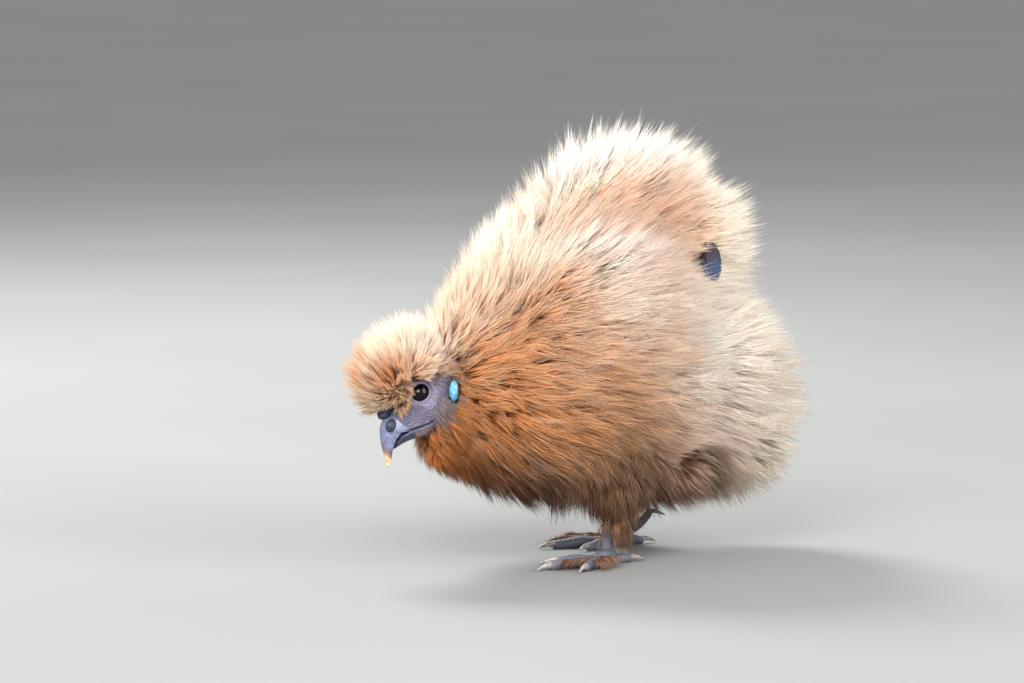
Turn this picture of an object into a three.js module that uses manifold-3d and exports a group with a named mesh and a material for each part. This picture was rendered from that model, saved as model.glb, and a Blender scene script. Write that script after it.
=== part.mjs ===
// A silkie hen, life size, standing with its head lowered to feed.
// Millimetres, +Z up. The head is towards -X, the tail towards +X and the bird's left side towards -Y.
import * as THREE from "three";
import { mergeVertices } from "three/addons/utils/BufferGeometryUtils.js";
import Module from "manifold-3d";

const wasm = await Module();
wasm.setup();

// Driving dimensions
const GAP = 0.3; // kept between pieces that touch
const LEFT = -1;
const RIGHT = 1;
const SIDES = [["left", LEFT], ["right", RIGHT]];

const HEAD = { centre: [-98.5, 0, 91], turn: 174, dip: 40, roll: 16 }; // the skull's middle, and how it is held
const SKULL_LENGTH = 40;
const SKULL_WIDTH = 26.5;
const SKULL_HEIGHT = 28;
const EYE = { forward: 4, up: 2, out: 8.6, radius: 5.8 };
const LOBE = { back: 10, down: 10, out: 11, width: 5.8, height: 13, thick: 6.4 };
const BEAK_LENGTH = 19.5; // from the face to the tip

const LEG = {
  left: { side: LEFT, ankle: -5, hock: 7 },
  right: { side: RIGHT, ankle: 36, hock: 45 },
};
const FOOT_SPREAD = 28; // from the middle line to each foot
const HOCK_HEIGHT = 50;
const ANKLE_HEIGHT = 10;
const SHANK_THICK = 8.4;
const TOE_OUT = 8; // degrees that each foot turns outwards
// Each toe: length, degrees from straight ahead towards the outside, thickness as a share, and its rise at the tip
const TOES = {
  inner: { length: 27, splay: -30, share: 0.92, rise: 0 },
  middle: { length: 38, splay: 0, share: 1, rise: 0 },
  outer: { length: 31, splay: 30, share: 0.92, rise: 0 },
  hind: { length: 15, splay: 172, share: 0.86, rise: 0 },
  fifth: { length: 17, splay: 212, share: 0.78, rise: 12 },
};
const TOE_THICK = 6.4;
const SOLE = 0.78; // how high a toe's middle stands, as a share of its half thickness
const CLAW_LENGTH = 9;

// The masses of the body, out to the tips of the coat: centre, half sizes along, across and upright, and the rise of
// the tail end in degrees. coat is the depth from the tips to the skin, and flow the way back to where the coat
// starts. row and column are the steps between roots, length is a lock's, and stiff is the share by which it runs out
// straight rather than along the body.
const MASSES = {
  crest: {
    ...{ centre: [3, 0, 22], half: [27, 25, 26], rise: 0, coat: 20 },
    ...{ flow: [0.85, 0, -0.3], row: 10, column: 11.5, length: 25, stiff: 0.25 },
  },
  neck: {
    ...{ centre: [-64, 0, 108], half: [38, 33, 35], rise: 40, coat: 16 },
    ...{ flow: [-0.9, 0, -0.3], row: 10, column: 12, length: 28, stiff: 0.15 },
  },
  breast: {
    ...{ centre: [-36, 0, 86], half: [60, 60, 58], rise: 20, coat: 20 },
    ...{ flow: [-0.6, 0, 0.8], row: 27, column: 26, length: 52, stiff: 0.1 },
  },
  belly: {
    ...{ centre: [14, 0, 92], half: [72, 64, 62], rise: 10, coat: 20 },
    ...{ flow: [-0.8, 0, 0.6], row: 31, column: 28, length: 56, stiff: 0.1 },
  },
  back: {
    ...{ centre: [-14, 0, 132], half: [72, 54, 58], rise: 35, coat: 20 },
    ...{ flow: [-0.9, 0, 0], row: 25, column: 25, length: 50, stiff: 0.1 },
  },
  cushion: {
    ...{ centre: [20, 0, 166], half: [59, 52, 53], rise: 10, coat: 28 },
    ...{ flow: [-0.9, 0, -0.3], row: 23, column: 21, length: 46, stiff: 0.15 },
  },
  tail: {
    ...{ centre: [46, -6, 156], half: [50, 44, 48], rise: -30, coat: 26 },
    ...{ flow: [-0.7, 0, 0.7], row: 22, column: 20, length: 46, stiff: 0.25 },
  },
  fluff: {
    ...{ centre: [57, 0, 94], half: [60, 62, 58], rise: 0, coat: 28 },
    ...{ flow: [-0.6, 0, 0.8], row: 27, column: 25, length: 52, stiff: 0.2 },
  },
};
const WING = {
  ...{ centre: [-6, 48, 134], half: [64, 20, 44], rise: 12, turn: 8, coat: 14 },
  ...{ flow: [-1, 0, 0.25], row: 21, column: 17, length: 44, stiff: 0.7 },
};
const THIGH = {
  ...{ inward: 1, height: 50, half: [31, 20, 25], rise: 82, coat: 12 },
  ...{ flow: [0, 0, 1], row: 17, column: 15, length: 28, stiff: 0.3 },
};
const LOCK_SINK = 4; // how deep a lock's root goes into what it grows from
const LOCK_THICK = 0.2; // of its width
const FIRST_ROW = 0.75; // from the pole that a coat flows from, in rows
const LAST_ROOT = THREE.MathUtils.degToRad(125); // no lock roots nearer to where the coat's lines meet again

// Solids
const toVector = (p) => new THREE.Vector3(...p);
const radians = THREE.MathUtils.degToRad;

// Where a piece stands: a turn about the upright, then a dip of its far end, then a roll about its own length
function frameAt(centre, turn = 0, dip = 0, roll = 0) {
  const place = new THREE.Matrix4().makeTranslation(...centre);
  place.multiply(new THREE.Matrix4().makeRotationZ(radians(turn)));
  place.multiply(new THREE.Matrix4().makeRotationY(radians(dip)));
  return place.multiply(new THREE.Matrix4().makeRotationX(radians(roll)));
}

function toSolid(geometry) {
  const bare = geometry.index ? geometry.clone() : geometry;
  bare.deleteAttribute("normal");
  bare.deleteAttribute("uv");
  const merged = mergeVertices(bare, 1e-4);
  const vertProperties = new Float32Array(merged.attributes.position.array);
  const triVerts = new Uint32Array(merged.index.array);
  return new wasm.Manifold(new wasm.Mesh({ numProp: 3, vertProperties, triVerts }));
}

const join = (solids) => wasm.Manifold.union(solids);

// A solid less others, kept as its largest closed surface without the scraps that a cut leaves
function clear(solid, ...others) {
  const bodies = (others.length ? solid.subtract(join(others)) : solid).decompose();
  return bodies.reduce((a, b) => (b.volume() > a.volume() ? b : a));
}

// Points nearer to each other than one of these are made one, so that no sliver is left where locks cross. The first
// that leaves every edge between just two faces is used.
const NEAR = [0.05, 0.04, 0.03, 0.02, 0.01];

function joinNear(solid, near) {
  const { numProp, vertProperties, triVerts } = solid.getMesh();
  const pointAt = (i) => new THREE.Vector3().fromArray(vertProperties, i * numProp);
  const leader = Array.from({ length: vertProperties.length / numProp }, (_, i) => i);
  const leaderOf = (i) => (leader[i] === i ? i : leaderOf(leader[i]));
  const edgesOf = ([a, b, c]) => [[a, b], [b, c], [c, a]];
  const corners = Array.from({ length: triVerts.length / 3 }, (_, i) => [...triVerts.subarray(3 * i, 3 * i + 3)]);
  for (const [from, to] of corners.flatMap(edgesOf)) {
    if (pointAt(from).distanceTo(pointAt(to)) < near) leader[leaderOf(from)] = leaderOf(to);
  }
  const faces = corners.map((face) => face.map(leaderOf)).filter((face) => new Set(face).size === 3);
  const edges = new Set(faces.flatMap(edgesOf).map(String));
  const closed = edges.size === 3 * faces.length && [...edges].every((edge) => {
    return edges.has(edge.split(",").reverse().join());
  });
  const mesh = new wasm.Mesh({ numProp, vertProperties, triVerts: new Uint32Array(faces.flat()) });
  return closed ? new wasm.Manifold(mesh) : null;
}

function weld(solid) {
  for (const near of NEAR) {
    const joined = joinNear(solid, near);
    if (joined) return joined;
  }
  return solid;
}

function fromTriangles(points, faces) {
  const geometry = new THREE.BufferGeometry();
  geometry.setAttribute("position", new THREE.Float32BufferAttribute(points.flatMap((p) => p.toArray()), 3));
  geometry.setIndex(faces.flat());
  return geometry;
}

// Rings of equal count joined in order. A first or last ring of one point is a pole, and any other end is flat.
function skinRings(rings) {
  const points = [];
  const starts = rings.map((ring) => points.push(...ring) - ring.length);
  const faces = [];
  for (let i = 0; i + 1 < rings.length; i++) {
    const [a, b] = [rings[i].length, rings[i + 1].length];
    const [p, q] = [starts[i], starts[i + 1]];
    const count = Math.max(a, b);
    for (let k = 0; k < count; k++) {
      const next = (k + 1) % count;
      if (a > 1) faces.push([p + k, p + next, q + (b > 1 ? next : 0)]);
      if (b > 1) faces.push([p + (a > 1 ? k : 0), q + next, q + k]);
    }
  }
  const cap = (ring, start, turnRound) => {
    if (ring.length < 2) return;
    for (let k = 1; k + 1 < ring.length; k++) {
      faces.push(turnRound ? [start, start + k + 1, start + k] : [start, start + k, start + k + 1]);
    }
  };
  cap(rings[0], starts[0], true);
  cap(rings.at(-1), starts.at(-1), false);
  return fromTriangles(points, faces);
}

// A tube in the frame's own upright plane. Each station is [along, up, half width, half height].
function tube(stations, sides, frame, grow = 0) {
  const middle = stations.map(([x, z]) => new THREE.Vector2(x, z));
  const rings = stations.map(([x, z, wide, high], i) => {
    if (wide === 0) return [new THREE.Vector3(x, 0, z)];
    const run = middle[Math.min(i + 1, middle.length - 1)].clone().sub(middle[Math.max(i - 1, 0)]).normalize();
    const past = i === 0 ? -grow : i === middle.length - 1 ? grow : 0;
    return Array.from({ length: sides }, (_, k) => {
      const angle = (2 * Math.PI * k) / sides;
      const rise = (high + grow) * Math.sin(angle);
      const wider = (wide + grow) * Math.cos(angle);
      return new THREE.Vector3(x + run.x * past - run.y * rise, wider, z + run.y * past + run.x * rise);
    });
  });
  return toSolid(skinRings(rings).applyMatrix4(frame));
}

// An egg: a ball stretched to its half sizes and set in a frame
function makeEgg(centre, half, { turn = 0, rise = 0, roll = 0, on = new THREE.Matrix4(), detail = 4 } = {}) {
  const frame = on.clone().multiply(frameAt(centre, turn, -rise, roll));
  return { frame, back: frame.clone().invert(), half: toVector(half), detail };
}

function eggSolid(egg, grow = 0) {
  const ball = new THREE.IcosahedronGeometry(1, egg.detail);
  ball.scale(egg.half.x + grow, egg.half.y + grow, egg.half.z + grow);
  return toSolid(ball.applyMatrix4(egg.frame));
}

const insideEgg = (egg, point, margin = 0) => {
  const p = point.clone().applyMatrix4(egg.back);
  const { x, y, z } = egg.half;
  return Math.hypot(p.x / (x + margin), p.y / (y + margin), p.z / (z + margin)) < 1;
};

// A seeded draw of numbers from 0 to 1, so that the coat comes out the same each time
function seededDraw(seed) {
  let state = seed;
  return () => {
    state = (state + 0x6d2b79f5) | 0;
    let mixed = Math.imul(state ^ (state >>> 15), 1 | state);
    mixed = (mixed + Math.imul(mixed ^ (mixed >>> 7), 61 | mixed)) ^ mixed;
    return ((mixed ^ (mixed >>> 14)) >>> 0) / 4294967296;
  };
}

// A lock is a flat blade along a path, widest near its root and pointed at its tip. Its section is a low triangle
// whose ridge faces out. at(q) gives the path and out(q) the way that its ridge faces, for q from 0 to 1.
const LOCK_SHAPE = [[0, 0.66], [0.38, 1], [0.76, 0.66]];
function lockSolid({ at, out, width, thick, roll }, grow = 0) {
  const rings = LOCK_SHAPE.map(([q, share]) => {
    const run = at(q + 0.01).sub(at(q - 0.01)).normalize();
    const across = new THREE.Vector3().crossVectors(run, out(q)).normalize().applyAxisAngle(run, roll);
    const up = new THREE.Vector3().crossVectors(across, run);
    const point = at(q).addScaledVector(run, q === 0 ? -grow : 0);
    const half = (width / 2) * share + 4.5 * grow;
    const low = point.clone().addScaledVector(up, -0.1 * half - grow);
    const ridge = point.clone().addScaledVector(up, thick * share + grow);
    return [low.clone().addScaledVector(across, half), low.clone().addScaledVector(across, -half), ridge];
  });
  const end = at(1).sub(at(0.98)).normalize();
  rings.push([at(1).addScaledVector(end, 8 * grow)]);
  return toSolid(skinRings(rings));
}

// A lock that grows from an egg, turned away from the pole that its coat flows from. It lies along the surface, and
// a stiff one runs out straight towards its tip.
function lockOnEgg(egg, root, pole, { length, width, lift, turn, bend, roll, stiff }) {
  const away = root.clone().multiplyScalar(pole.dot(root)).sub(pole).normalize().applyAxisAngle(root, turn);
  const side = new THREE.Vector3().crossVectors(root, away);
  const reach = length / away.clone().multiply(egg.half).length();
  const heading = (q) => away.clone().multiplyScalar(Math.cos(bend * q)).addScaledVector(side, Math.sin(bend * q));
  const spot = (q) => {
    const angle = reach * q;
    return root.clone().multiplyScalar(Math.cos(angle)).addScaledVector(heading(q), Math.sin(angle)).normalize();
  };
  const out = (q) => spot(q).divide(egg.half).normalize().transformDirection(egg.frame);
  const surface = (q) => spot(q).multiply(egg.half).applyMatrix4(egg.frame);
  const start = surface(0);
  const straight = surface(0.02).sub(surface(0)).normalize().multiplyScalar(length);
  const at = (q) => {
    const rise = -LOCK_SINK + (lift + LOCK_SINK) * Math.max(q, 0) ** 0.8;
    const lying = surface(q).addScaledVector(out(q), rise);
    return lying.lerp(start.clone().addScaledVector(straight, q).addScaledVector(out(0), rise), stiff * Math.max(q, 0));
  };
  return { at, out, width, thick: width * LOCK_THICK, roll };
}

// Roots in staggered rows round the pole of an egg
function rootsOnEgg(egg, pole, row, column) {
  const size = Math.cbrt(egg.half.x * egg.half.y * egg.half.z);
  const start = Math.abs(pole.x) < 0.9 ? new THREE.Vector3(1, 0, 0) : new THREE.Vector3(0, 1, 0);
  const side = new THREE.Vector3().crossVectors(pole, start).normalize();
  const roots = [];
  const rows = Math.floor((Math.PI * size) / row);
  for (let i = 0; i < rows; i++) {
    const polar = (Math.PI * (i + FIRST_ROW)) / rows;
    if (polar > LAST_ROOT) break;
    const count = Math.max(3, Math.round((2 * Math.PI * size * Math.sin(polar)) / column));
    for (let k = 0; k < count; k++) {
      const round = (2 * Math.PI * (k + (i % 2) / 2)) / count;
      roots.push(pole.clone().applyAxisAngle(side, polar).applyAxisAngle(pole, round));
    }
  }
  return roots;
}

// Head
const headFrame = frameAt(HEAD.centre, HEAD.turn, HEAD.dip, HEAD.roll);
const inHead = (centre, half, options = {}) => makeEgg(centre, half, { on: headFrame, ...options });

function skull(grow = 0) {
  const [long, wide, high] = [SKULL_LENGTH / 2, SKULL_WIDTH / 2, SKULL_HEIGHT / 2];
  const profile = [
    [-1, -0.05, 0, 0],
    [-0.9, -0.05, 0.5, 0.5],
    [-0.6, -0.03, 0.84, 0.84],
    [-0.2, 0, 1, 1],
    [0.2, -0.02, 0.97, 0.97],
    [0.55, -0.1, 0.8, 0.82],
    [0.85, -0.19, 0.64, 0.62],
    [0.98, -0.22, 0.56, 0.52],
  ];
  const stations = profile.map(([x, z, w, h]) => [x * long, z * high, w * wide, h * high]);
  return tube(stations, 16, headFrame, grow);
}

const eyeBall = (side, grow = 0) =>
  eggSolid(inHead([EYE.forward, -side * EYE.out, EYE.up], [EYE.radius, EYE.radius, EYE.radius], { detail: 2 }), grow);

// The lids stand round the eye as a low ring
function eyelids(side) {
  const ring = new THREE.TorusGeometry(EYE.radius * 0.93, 1.15, 5, 14);
  ring.applyMatrix4(new THREE.Matrix4().makeRotationX(Math.PI / 2));
  const out = EYE.out + EYE.radius * 0.58;
  ring.applyMatrix4(frameAt([EYE.forward, -side * out, EYE.up], 4 * side));
  return toSolid(ring.applyMatrix4(headFrame));
}

function lobe(side, grow = 0) {
  const half = [LOBE.width / 2, LOBE.thick / 2, LOBE.height / 2];
  const centre = [-LOBE.back, -side * LOBE.out, -LOBE.down];
  return eggSolid(inHead(centre, half, { rise: 8, detail: 2 }), grow);
}

// The upper beak: an arch over a flat underside, bent down to the tip. Each station holds the ridge, the edge
// and the half width at the edge.
const BEAK_STATIONS = [
  { along: 0, ridge: 3.6, edge: -9.3, wide: 7.4 },
  { along: 0.25, ridge: 3.2, edge: -9.5, wide: 6.4 },
  { along: 0.5, ridge: 0.9, edge: -9.8, wide: 5.0 },
  { along: 0.72, ridge: -3.4, edge: -10.6, wide: 3.6 },
  { along: 0.9, ridge: -8.8, edge: -12.4, wide: 2.0 },
];
const BEAK_START = 0.98 * (SKULL_LENGTH / 2) + GAP;

function upperBeak(grow = 0) {
  const arch = 9;
  const rings = BEAK_STATIONS.map(({ along, ridge, edge, wide }) =>
    Array.from({ length: arch }, (_, k) => {
      const angle = (Math.PI * k) / (arch - 1);
      const y = (wide + grow) * Math.cos(angle);
      const z = edge - grow + (ridge - edge + 2 * grow) * Math.sin(angle) ** 0.75;
      return new THREE.Vector3(BEAK_START + along * BEAK_LENGTH - (k % (arch - 1) ? 0 : grow), y, z);
    }),
  );
  rings.push([new THREE.Vector3(BEAK_START + BEAK_LENGTH + grow, 0, -14.6 - grow)]);
  return toSolid(skinRings(rings).applyMatrix4(headFrame));
}

function lowerBeak(grow = 0) {
  const stations = [
    [BEAK_START, -11.4, 6.6, 3.1],
    [BEAK_START + 0.3 * BEAK_LENGTH, -11.7, 5.4, 3],
    [BEAK_START + 0.6 * BEAK_LENGTH, -12, 3.7, 2.5],
    [BEAK_START + 0.8 * BEAK_LENGTH, -12.8, 1.9, 1.6],
    [BEAK_START + 0.88 * BEAK_LENGTH, -13.6, 0, 0],
  ];
  return tube(stations, 12, headFrame, grow);
}

// The nostril: a soft lid that bulges over a slit
const nostrilLid = (side) => eggSolid(inHead([25, -side * 4.1, -1.4], [4, 1.9, 2.5], { rise: -20, detail: 1 }));
const nostrilSlit = (side) => eggSolid(inHead([26.2, -side * 5.4, -4.2], [2.7, 1.4, 0.8], { rise: -18, detail: 1 }));

// The comb: a low cushion of small knobs over the beak's base
function comb() {
  const knobs = [];
  for (const [forward, side, up, size] of [[16.8, -1, 6.2, 3.8], [16.8, 1, 6.2, 3.8], [21.3, 0, 4.9, 3.5]]) {
    knobs.push(eggSolid(inHead([forward, side * 2.8, up], [size, size, size * 1.1], { detail: 1 })));
  }
  return join(knobs);
}

const wattle = (side, grow = 0) =>
  eggSolid(inHead([14, -side * 4.5, -15.6], [3.6, 1.6, 4.6], { rise: 12, detail: 1 }), grow);

// The corner of the mouth runs back from the beak as a crease in the cheek
const mouthCorner = (side) => eggSolid(inHead([12, -side * 10.4, -11.6], [7, 3, 0.6], { rise: 6, detail: 1 }));

// The coat keeps clear of the skin round each eye, the earlobes and the beak, and its locks also of the crown
const eyeMargins = [LEFT, RIGHT].map((side) => inHead([EYE.forward, -side * 12, EYE.up - 1], [9.5, 6, 8], { detail: 1 }));
const onFace = (point) => eyeMargins.some((egg) => insideEgg(egg, point, 3));
const lobeMargins = [LEFT, RIGHT].map((side) => {
  return inHead([-LOBE.back, -side * LOBE.out, -LOBE.down], [5, LOBE.thick * 0.75, 8.5], { detail: 1 });
});
const beakMargin = inHead([26, 0, -7], [14, 11, 15], { detail: 1 });
const faceMargin = join([skull(GAP), ...[...eyeMargins, ...lobeMargins, beakMargin].map((egg) => eggSolid(egg))]);
const crownMargin = eggSolid(inHead([3, 0, -1], [26, 15, 16.5], { detail: 1 }));

// The core of a mass reaches half way through its coat
function coreOf(mass, options = {}) {
  const half = mass.half.map((size) => size - mass.coat / 2);
  return makeEgg(mass.centre, half, { rise: mass.rise, detail: 2, ...options });
}

const cores = {};
for (const [name, mass] of Object.entries(MASSES)) cores[name] = coreOf(mass, name === "crest" ? { on: headFrame } : {});
for (const [name, side] of SIDES) {
  const [x, y, z] = WING.centre;
  cores[`wing_${name}`] = coreOf({ ...WING, centre: [x, side * y, z] }, { turn: -side * WING.turn });
  const hip = [LEG[name].hock - 6, side * (FOOT_SPREAD - THIGH.inward), THIGH.height];
  cores[`thigh_${name}`] = coreOf({ ...THIGH, centre: hip }, { detail: 2 });
}
const massOf = (name) => MASSES[name] ?? (name.startsWith("wing") ? WING : THIGH);

// Which cores each coated node is made of, from the one that lies over the others to the one that lies under them
const COATED = {
  crest: ["crest"],
  neck: ["neck"],
  wing_left: ["wing_left"],
  wing_right: ["wing_right"],
  cushion: ["cushion"],
  torso: ["breast", "belly", "back"],
  tail: ["tail"],
  thigh_left: ["thigh_left"],
  thigh_right: ["thigh_right"],
  fluff: ["fluff"],
};

// The locks of one core: none roots in another core or on the face
function locksOf(name, draw) {
  const egg = cores[name];
  const { coat, flow, row, column, length, stiff } = massOf(name);
  const toward = name === "crest" ? headFrame : new THREE.Matrix4();
  const pole = toVector(flow).transformDirection(toward).transformDirection(egg.back);
  const vary = (share) => 1 + share * (2 * draw() - 1);
  const locks = [];
  for (const root of rootsOnEgg(egg, pole, row, column)) {
    const lock = lockOnEgg(egg, root, pole, {
      length: length * vary(0.16),
      width: column * 0.88 * vary(0.1),
      lift: (coat / 2) * vary(0.12),
      turn: 0.1 * (2 * draw() - 1),
      bend: 0.2 * (2 * draw() - 1),
      roll: 0.1 * (2 * draw() - 1),
      stiff,
    });
    const others = Object.keys(cores).filter((other) => other !== name);
    const covered = others.some((other) => [0.1, 0.5].every((q) => insideEgg(cores[other], lock.at(q), 1)));
    if (!covered && !onFace(lock.at(0.5))) locks.push(lock);
  }
  return locks;
}

// Legs
function legFrame(name) {
  const { side, ankle } = LEG[name];
  return frameAt([ankle, side * FOOT_SPREAD, 0], 180 - side * TOE_OUT);
}

// The shank with its rings of scutes, from the top of the foot to the hock
function shank(name, grow = 0) {
  const { ankle, hock } = LEG[name];
  const thick = SHANK_THICK / 2;
  const scutes = 5;
  const stations = [];
  for (let i = 0; i <= scutes; i++) {
    const along = i / scutes;
    const height = ANKLE_HEIGHT + along * (HOCK_HEIGHT - ANKLE_HEIGHT);
    const lean = (ankle - hock) * along;
    if (i > 0) stations.push([lean + 0.1, height - 1.6, thick * 1.06, thick * 1.12]);
    stations.push([lean, height, thick * 0.95, thick]);
  }
  return tube(stations, 8, legFrame(name), grow);
}

// A plain post round the shank, which the coat keeps clear of
function legPath(name) {
  const { ankle, hock } = LEG[name];
  const clear = SHANK_THICK * 0.8;
  return tube([[0, 8, clear, clear], [ankle - hock, HOCK_HEIGHT + 2, clear, clear]], 6, legFrame(name));
}

const toeFrame = (name, toe) => {
  const { side } = LEG[name];
  return legFrame(name).multiply(frameAt([0, 0, 0], -side * TOES[toe].splay));
};

function toeSolid(name, toe, grow = 0) {
  const { length, share, rise } = TOES[toe];
  const thick = (TOE_THICK / 2) * share;
  // Each joint of the toe is a pad, with a waist between two pads. The floor cuts the pads flat.
  const pads = [[0, 1.25], [0.34, 0.94], [0.6, 1.04], [1, 0.74]];
  const lift = rise ? 5 : 0;
  const stations = pads.map(([q, w]) => {
    const height = SOLE * w * thick + lift + rise * q * q;
    return [q * length, height, w * thick, w * thick];
  });
  return tube(stations, 8, toeFrame(name, toe), grow);
}

function claw(name, toe, grow = 0) {
  const { length, share, rise } = TOES[toe];
  const thick = 1.9 * share;
  const start = length - 1;
  const base = 2.5 + (rise ? 4 : 0) + rise;
  const stations = [
    [start, base, thick, thick],
    [start + 0.35 * CLAW_LENGTH, base + 0.5, thick * 0.82, thick * 0.84],
    [start + 0.7 * CLAW_LENGTH, base - 0.2, thick * 0.5, thick * 0.55],
    [start + CLAW_LENGTH, base - 1.9, 0, 0],
  ];
  const horn = tube(stations, 6, toeFrame(name, toe), grow);
  return grow ? horn : clear(horn, toeSolid(name, toe, GAP));
}

function floorBlock() {
  const block = new THREE.BoxGeometry(600, 600, 100);
  return toSolid(block.translate(0, 0, -50));
}

// The foot: five toes joined at the ball under the shank
function foot(name) {
  const toes = Object.keys(TOES).map((toe) => toeSolid(name, toe));
  const ball = makeEgg([0, 0, 5], [5.4, 5, ANKLE_HEIGHT - 5], { on: legFrame(name), detail: 1 });
  return clear(join([...toes, eggSolid(ball)]), floorBlock());
}

// Feathers on the outer side of the shank and on two toes: short locks that fall outwards and forwards
function legLock(frame, root, reach, { width, drop }) {
  const [x, y, z] = root;
  const [ahead, outward] = reach;
  const at = (q) => new THREE.Vector3(x + ahead * q, y + outward * q, z + 1.5 * q - drop * q * q).applyMatrix4(frame);
  const out = () => new THREE.Vector3(0.1 * ahead, 0.1 * outward, 1).transformDirection(frame);
  return { at, out, width, thick: width * LOCK_THICK, roll: 0 };
}

function shankLocks(name) {
  const { side, ankle, hock } = LEG[name];
  const lean = (ankle - hock) / HOCK_HEIGHT;
  return [17, 22, 28, 34].map((height, i) => {
    const root = [lean * height, side * 1.5, height];
    return legLock(legFrame(name), root, [i % 2 ? -7 : 7, -side * 20], { width: 9, drop: 11 });
  });
}

// Nodes. Each coated node is its core and its locks, kept clear of every other core and of the locks that lie over it.
const nodes = {};
const head = join([skull(), eyelids(LEFT), eyelids(RIGHT)]);
const eyes = [LEFT, RIGHT].map((side) => eyeBall(side, GAP));
const creases = [LEFT, RIGHT].map((side) => mouthCorner(side));
const beakSeat = toSolid(new THREE.BoxGeometry(20, 40, 40).translate(BEAK_START - GAP + 10, 0, 0).applyMatrix4(headFrame));
nodes.head = clear(head, ...eyes, ...creases, beakSeat);
const arch = join([upperBeak(), nostrilLid(LEFT), nostrilLid(RIGHT)]);
nodes.beak_upper = clear(arch, nostrilSlit(LEFT), nostrilSlit(RIGHT));
nodes.beak_lower = clear(lowerBeak(), upperBeak(GAP), skull(GAP));
nodes.comb = clear(comb(), skull(GAP), upperBeak(GAP));
for (const [name, side] of SIDES) {
  nodes[`eye_${name}`] = eyeBall(side);
  nodes[`earlobe_${name}`] = clear(lobe(side), skull(GAP));
  nodes[`wattle_${name}`] = clear(wattle(side), skull(GAP), lowerBeak(GAP));
}

const draw = seededDraw(3);
const coats = Object.fromEntries(Object.entries(COATED).map(([name, parts]) => {
  return [name, parts.flatMap((part) => locksOf(part, draw))];
}));
const grownCore = Object.fromEntries(Object.keys(cores).map((name) => [name, eggSolid(cores[name], GAP)]));
const legs = join(SIDES.map(([name]) => legPath(name)));
const lowFloor = floorBlock().translate(0, 0, 1);

// A lock is left out where more than this share of it would lie in the masses beside it, or in the locks over it
const MOST_SUNK = 0.45;
const MOST_HIDDEN = 0.1;
const shareInside = (lock, obstacle) => lock.intersect(obstacle).volume() / lock.volume();

// The torso's core comes whole, and each other core is cut by those before it
const trimmedCore = {};
const coreOver = [];
for (const name of ["torso", ...Object.keys(COATED).filter((other) => other !== "torso")]) {
  const whole = join(COATED[name].map((part) => eggSolid(cores[part])));
  trimmedCore[name] = whole.subtract(join([faceMargin, ...coreOver]));
  coreOver.push(...COATED[name].map((part) => grownCore[part]));
}

const coatOver = [];
for (const [name, parts] of Object.entries(COATED)) {
  const others = Object.keys(cores).filter((other) => !parts.includes(other)).map((other) => grownCore[other]);
  const beside = join([faceMargin, crownMargin, lowFloor, legs, ...others]);
  const above = join(coatOver);
  const kept = coats[name].filter((lock) => {
    const blade = lockSolid(lock);
    return shareInside(blade, beside) < MOST_SUNK && shareInside(blade, above) < MOST_HIDDEN;
  });
  const locks = join(kept.map((lock) => lockSolid(lock))).subtract(beside.add(above));
  nodes[name] = clear(trimmedCore[name].add(locks), legs);
  coatOver.push(...kept.map((lock) => lockSolid(lock, 2 * GAP)));
}

for (const [name] of SIDES) {
  const feathers = join(shankLocks(name).map((lock) => lockSolid(lock)));
  nodes[`foot_${name}`] = foot(name);
  const leg = clear(join([shank(name), feathers]), ...coreOver, ...coatOver);
  nodes[`shank_${name}`] = clear(leg, lowFloor, foot(name), foot(name).translate(0, 0, GAP));
  for (const toe of Object.keys(TOES)) nodes[`claw_${toe}_${name}`] = claw(name, toe);
}

// Finishes
const finish = (color, roughness) => new THREE.MeshStandardMaterial({ color, roughness, metalness: 0 });
const finishes = {
  head: finish(0x5c6074, 0.6),
  beak: finish(0x6f7890, 0.4),
  comb: finish(0x3a3d50, 0.55),
  lobe: finish(0x45b6dc, 0.5),
  eye: finish(0x0c0b0d, 0.08),
  leg: finish(0x5a5c68, 0.6),
  claw: finish(0x8d8f96, 0.45),
  buff: finish(0xc98a45, 0.9),
  cream: finish(0xf1d9b8, 0.9),
};
const finishOf = (name) => {
  const key = name.split("_")[0];
  const table = {
    earlobe: "lobe",
    wattle: "comb",
    shank: "leg",
    foot: "leg",
    crest: "cream",
    cushion: "cream",
    tail: "cream",
    fluff: "cream",
  };
  return finishes[key] ?? finishes[table[key]] ?? finishes.buff;
};

const hen = new THREE.Group();
for (const [name, solid] of Object.entries(nodes)) {
  const { numProp, vertProperties, triVerts } = weld(solid).getMesh();
  const geometry = new THREE.BufferGeometry();
  const position = new Float32Array((vertProperties.length / numProp) * 3);
  for (let i = 0; i < position.length / 3; i++) {
    position.set(vertProperties.subarray(i * numProp, i * numProp + 3), i * 3);
  }
  geometry.setAttribute("position", new THREE.BufferAttribute(position, 3));
  geometry.setIndex(new THREE.BufferAttribute(triVerts, 1));
  geometry.computeVertexNormals();
  const mesh = new THREE.Mesh(geometry, finishOf(name));
  mesh.name = name;
  hen.add(mesh);
}

// The middle of the whole stands over the origin
const box = new THREE.Box3().setFromObject(hen);
const middle = box.getCenter(new THREE.Vector3());
hen.position.set(-middle.x, -middle.y, 0);

export default hen;
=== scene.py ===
# %% [markdown]
# # A silkie hen, dressed over its solid model
# A silkie's feathers have no hooks that zip their barbs together, so its coat hangs in loose silk over dark skin.
# The solid model gives the masses of the bird. Here each mass shrinks by the depth of its coat to give the skin, and
# the silk is combed out over that skin as tufts of thin closed blades.

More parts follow.
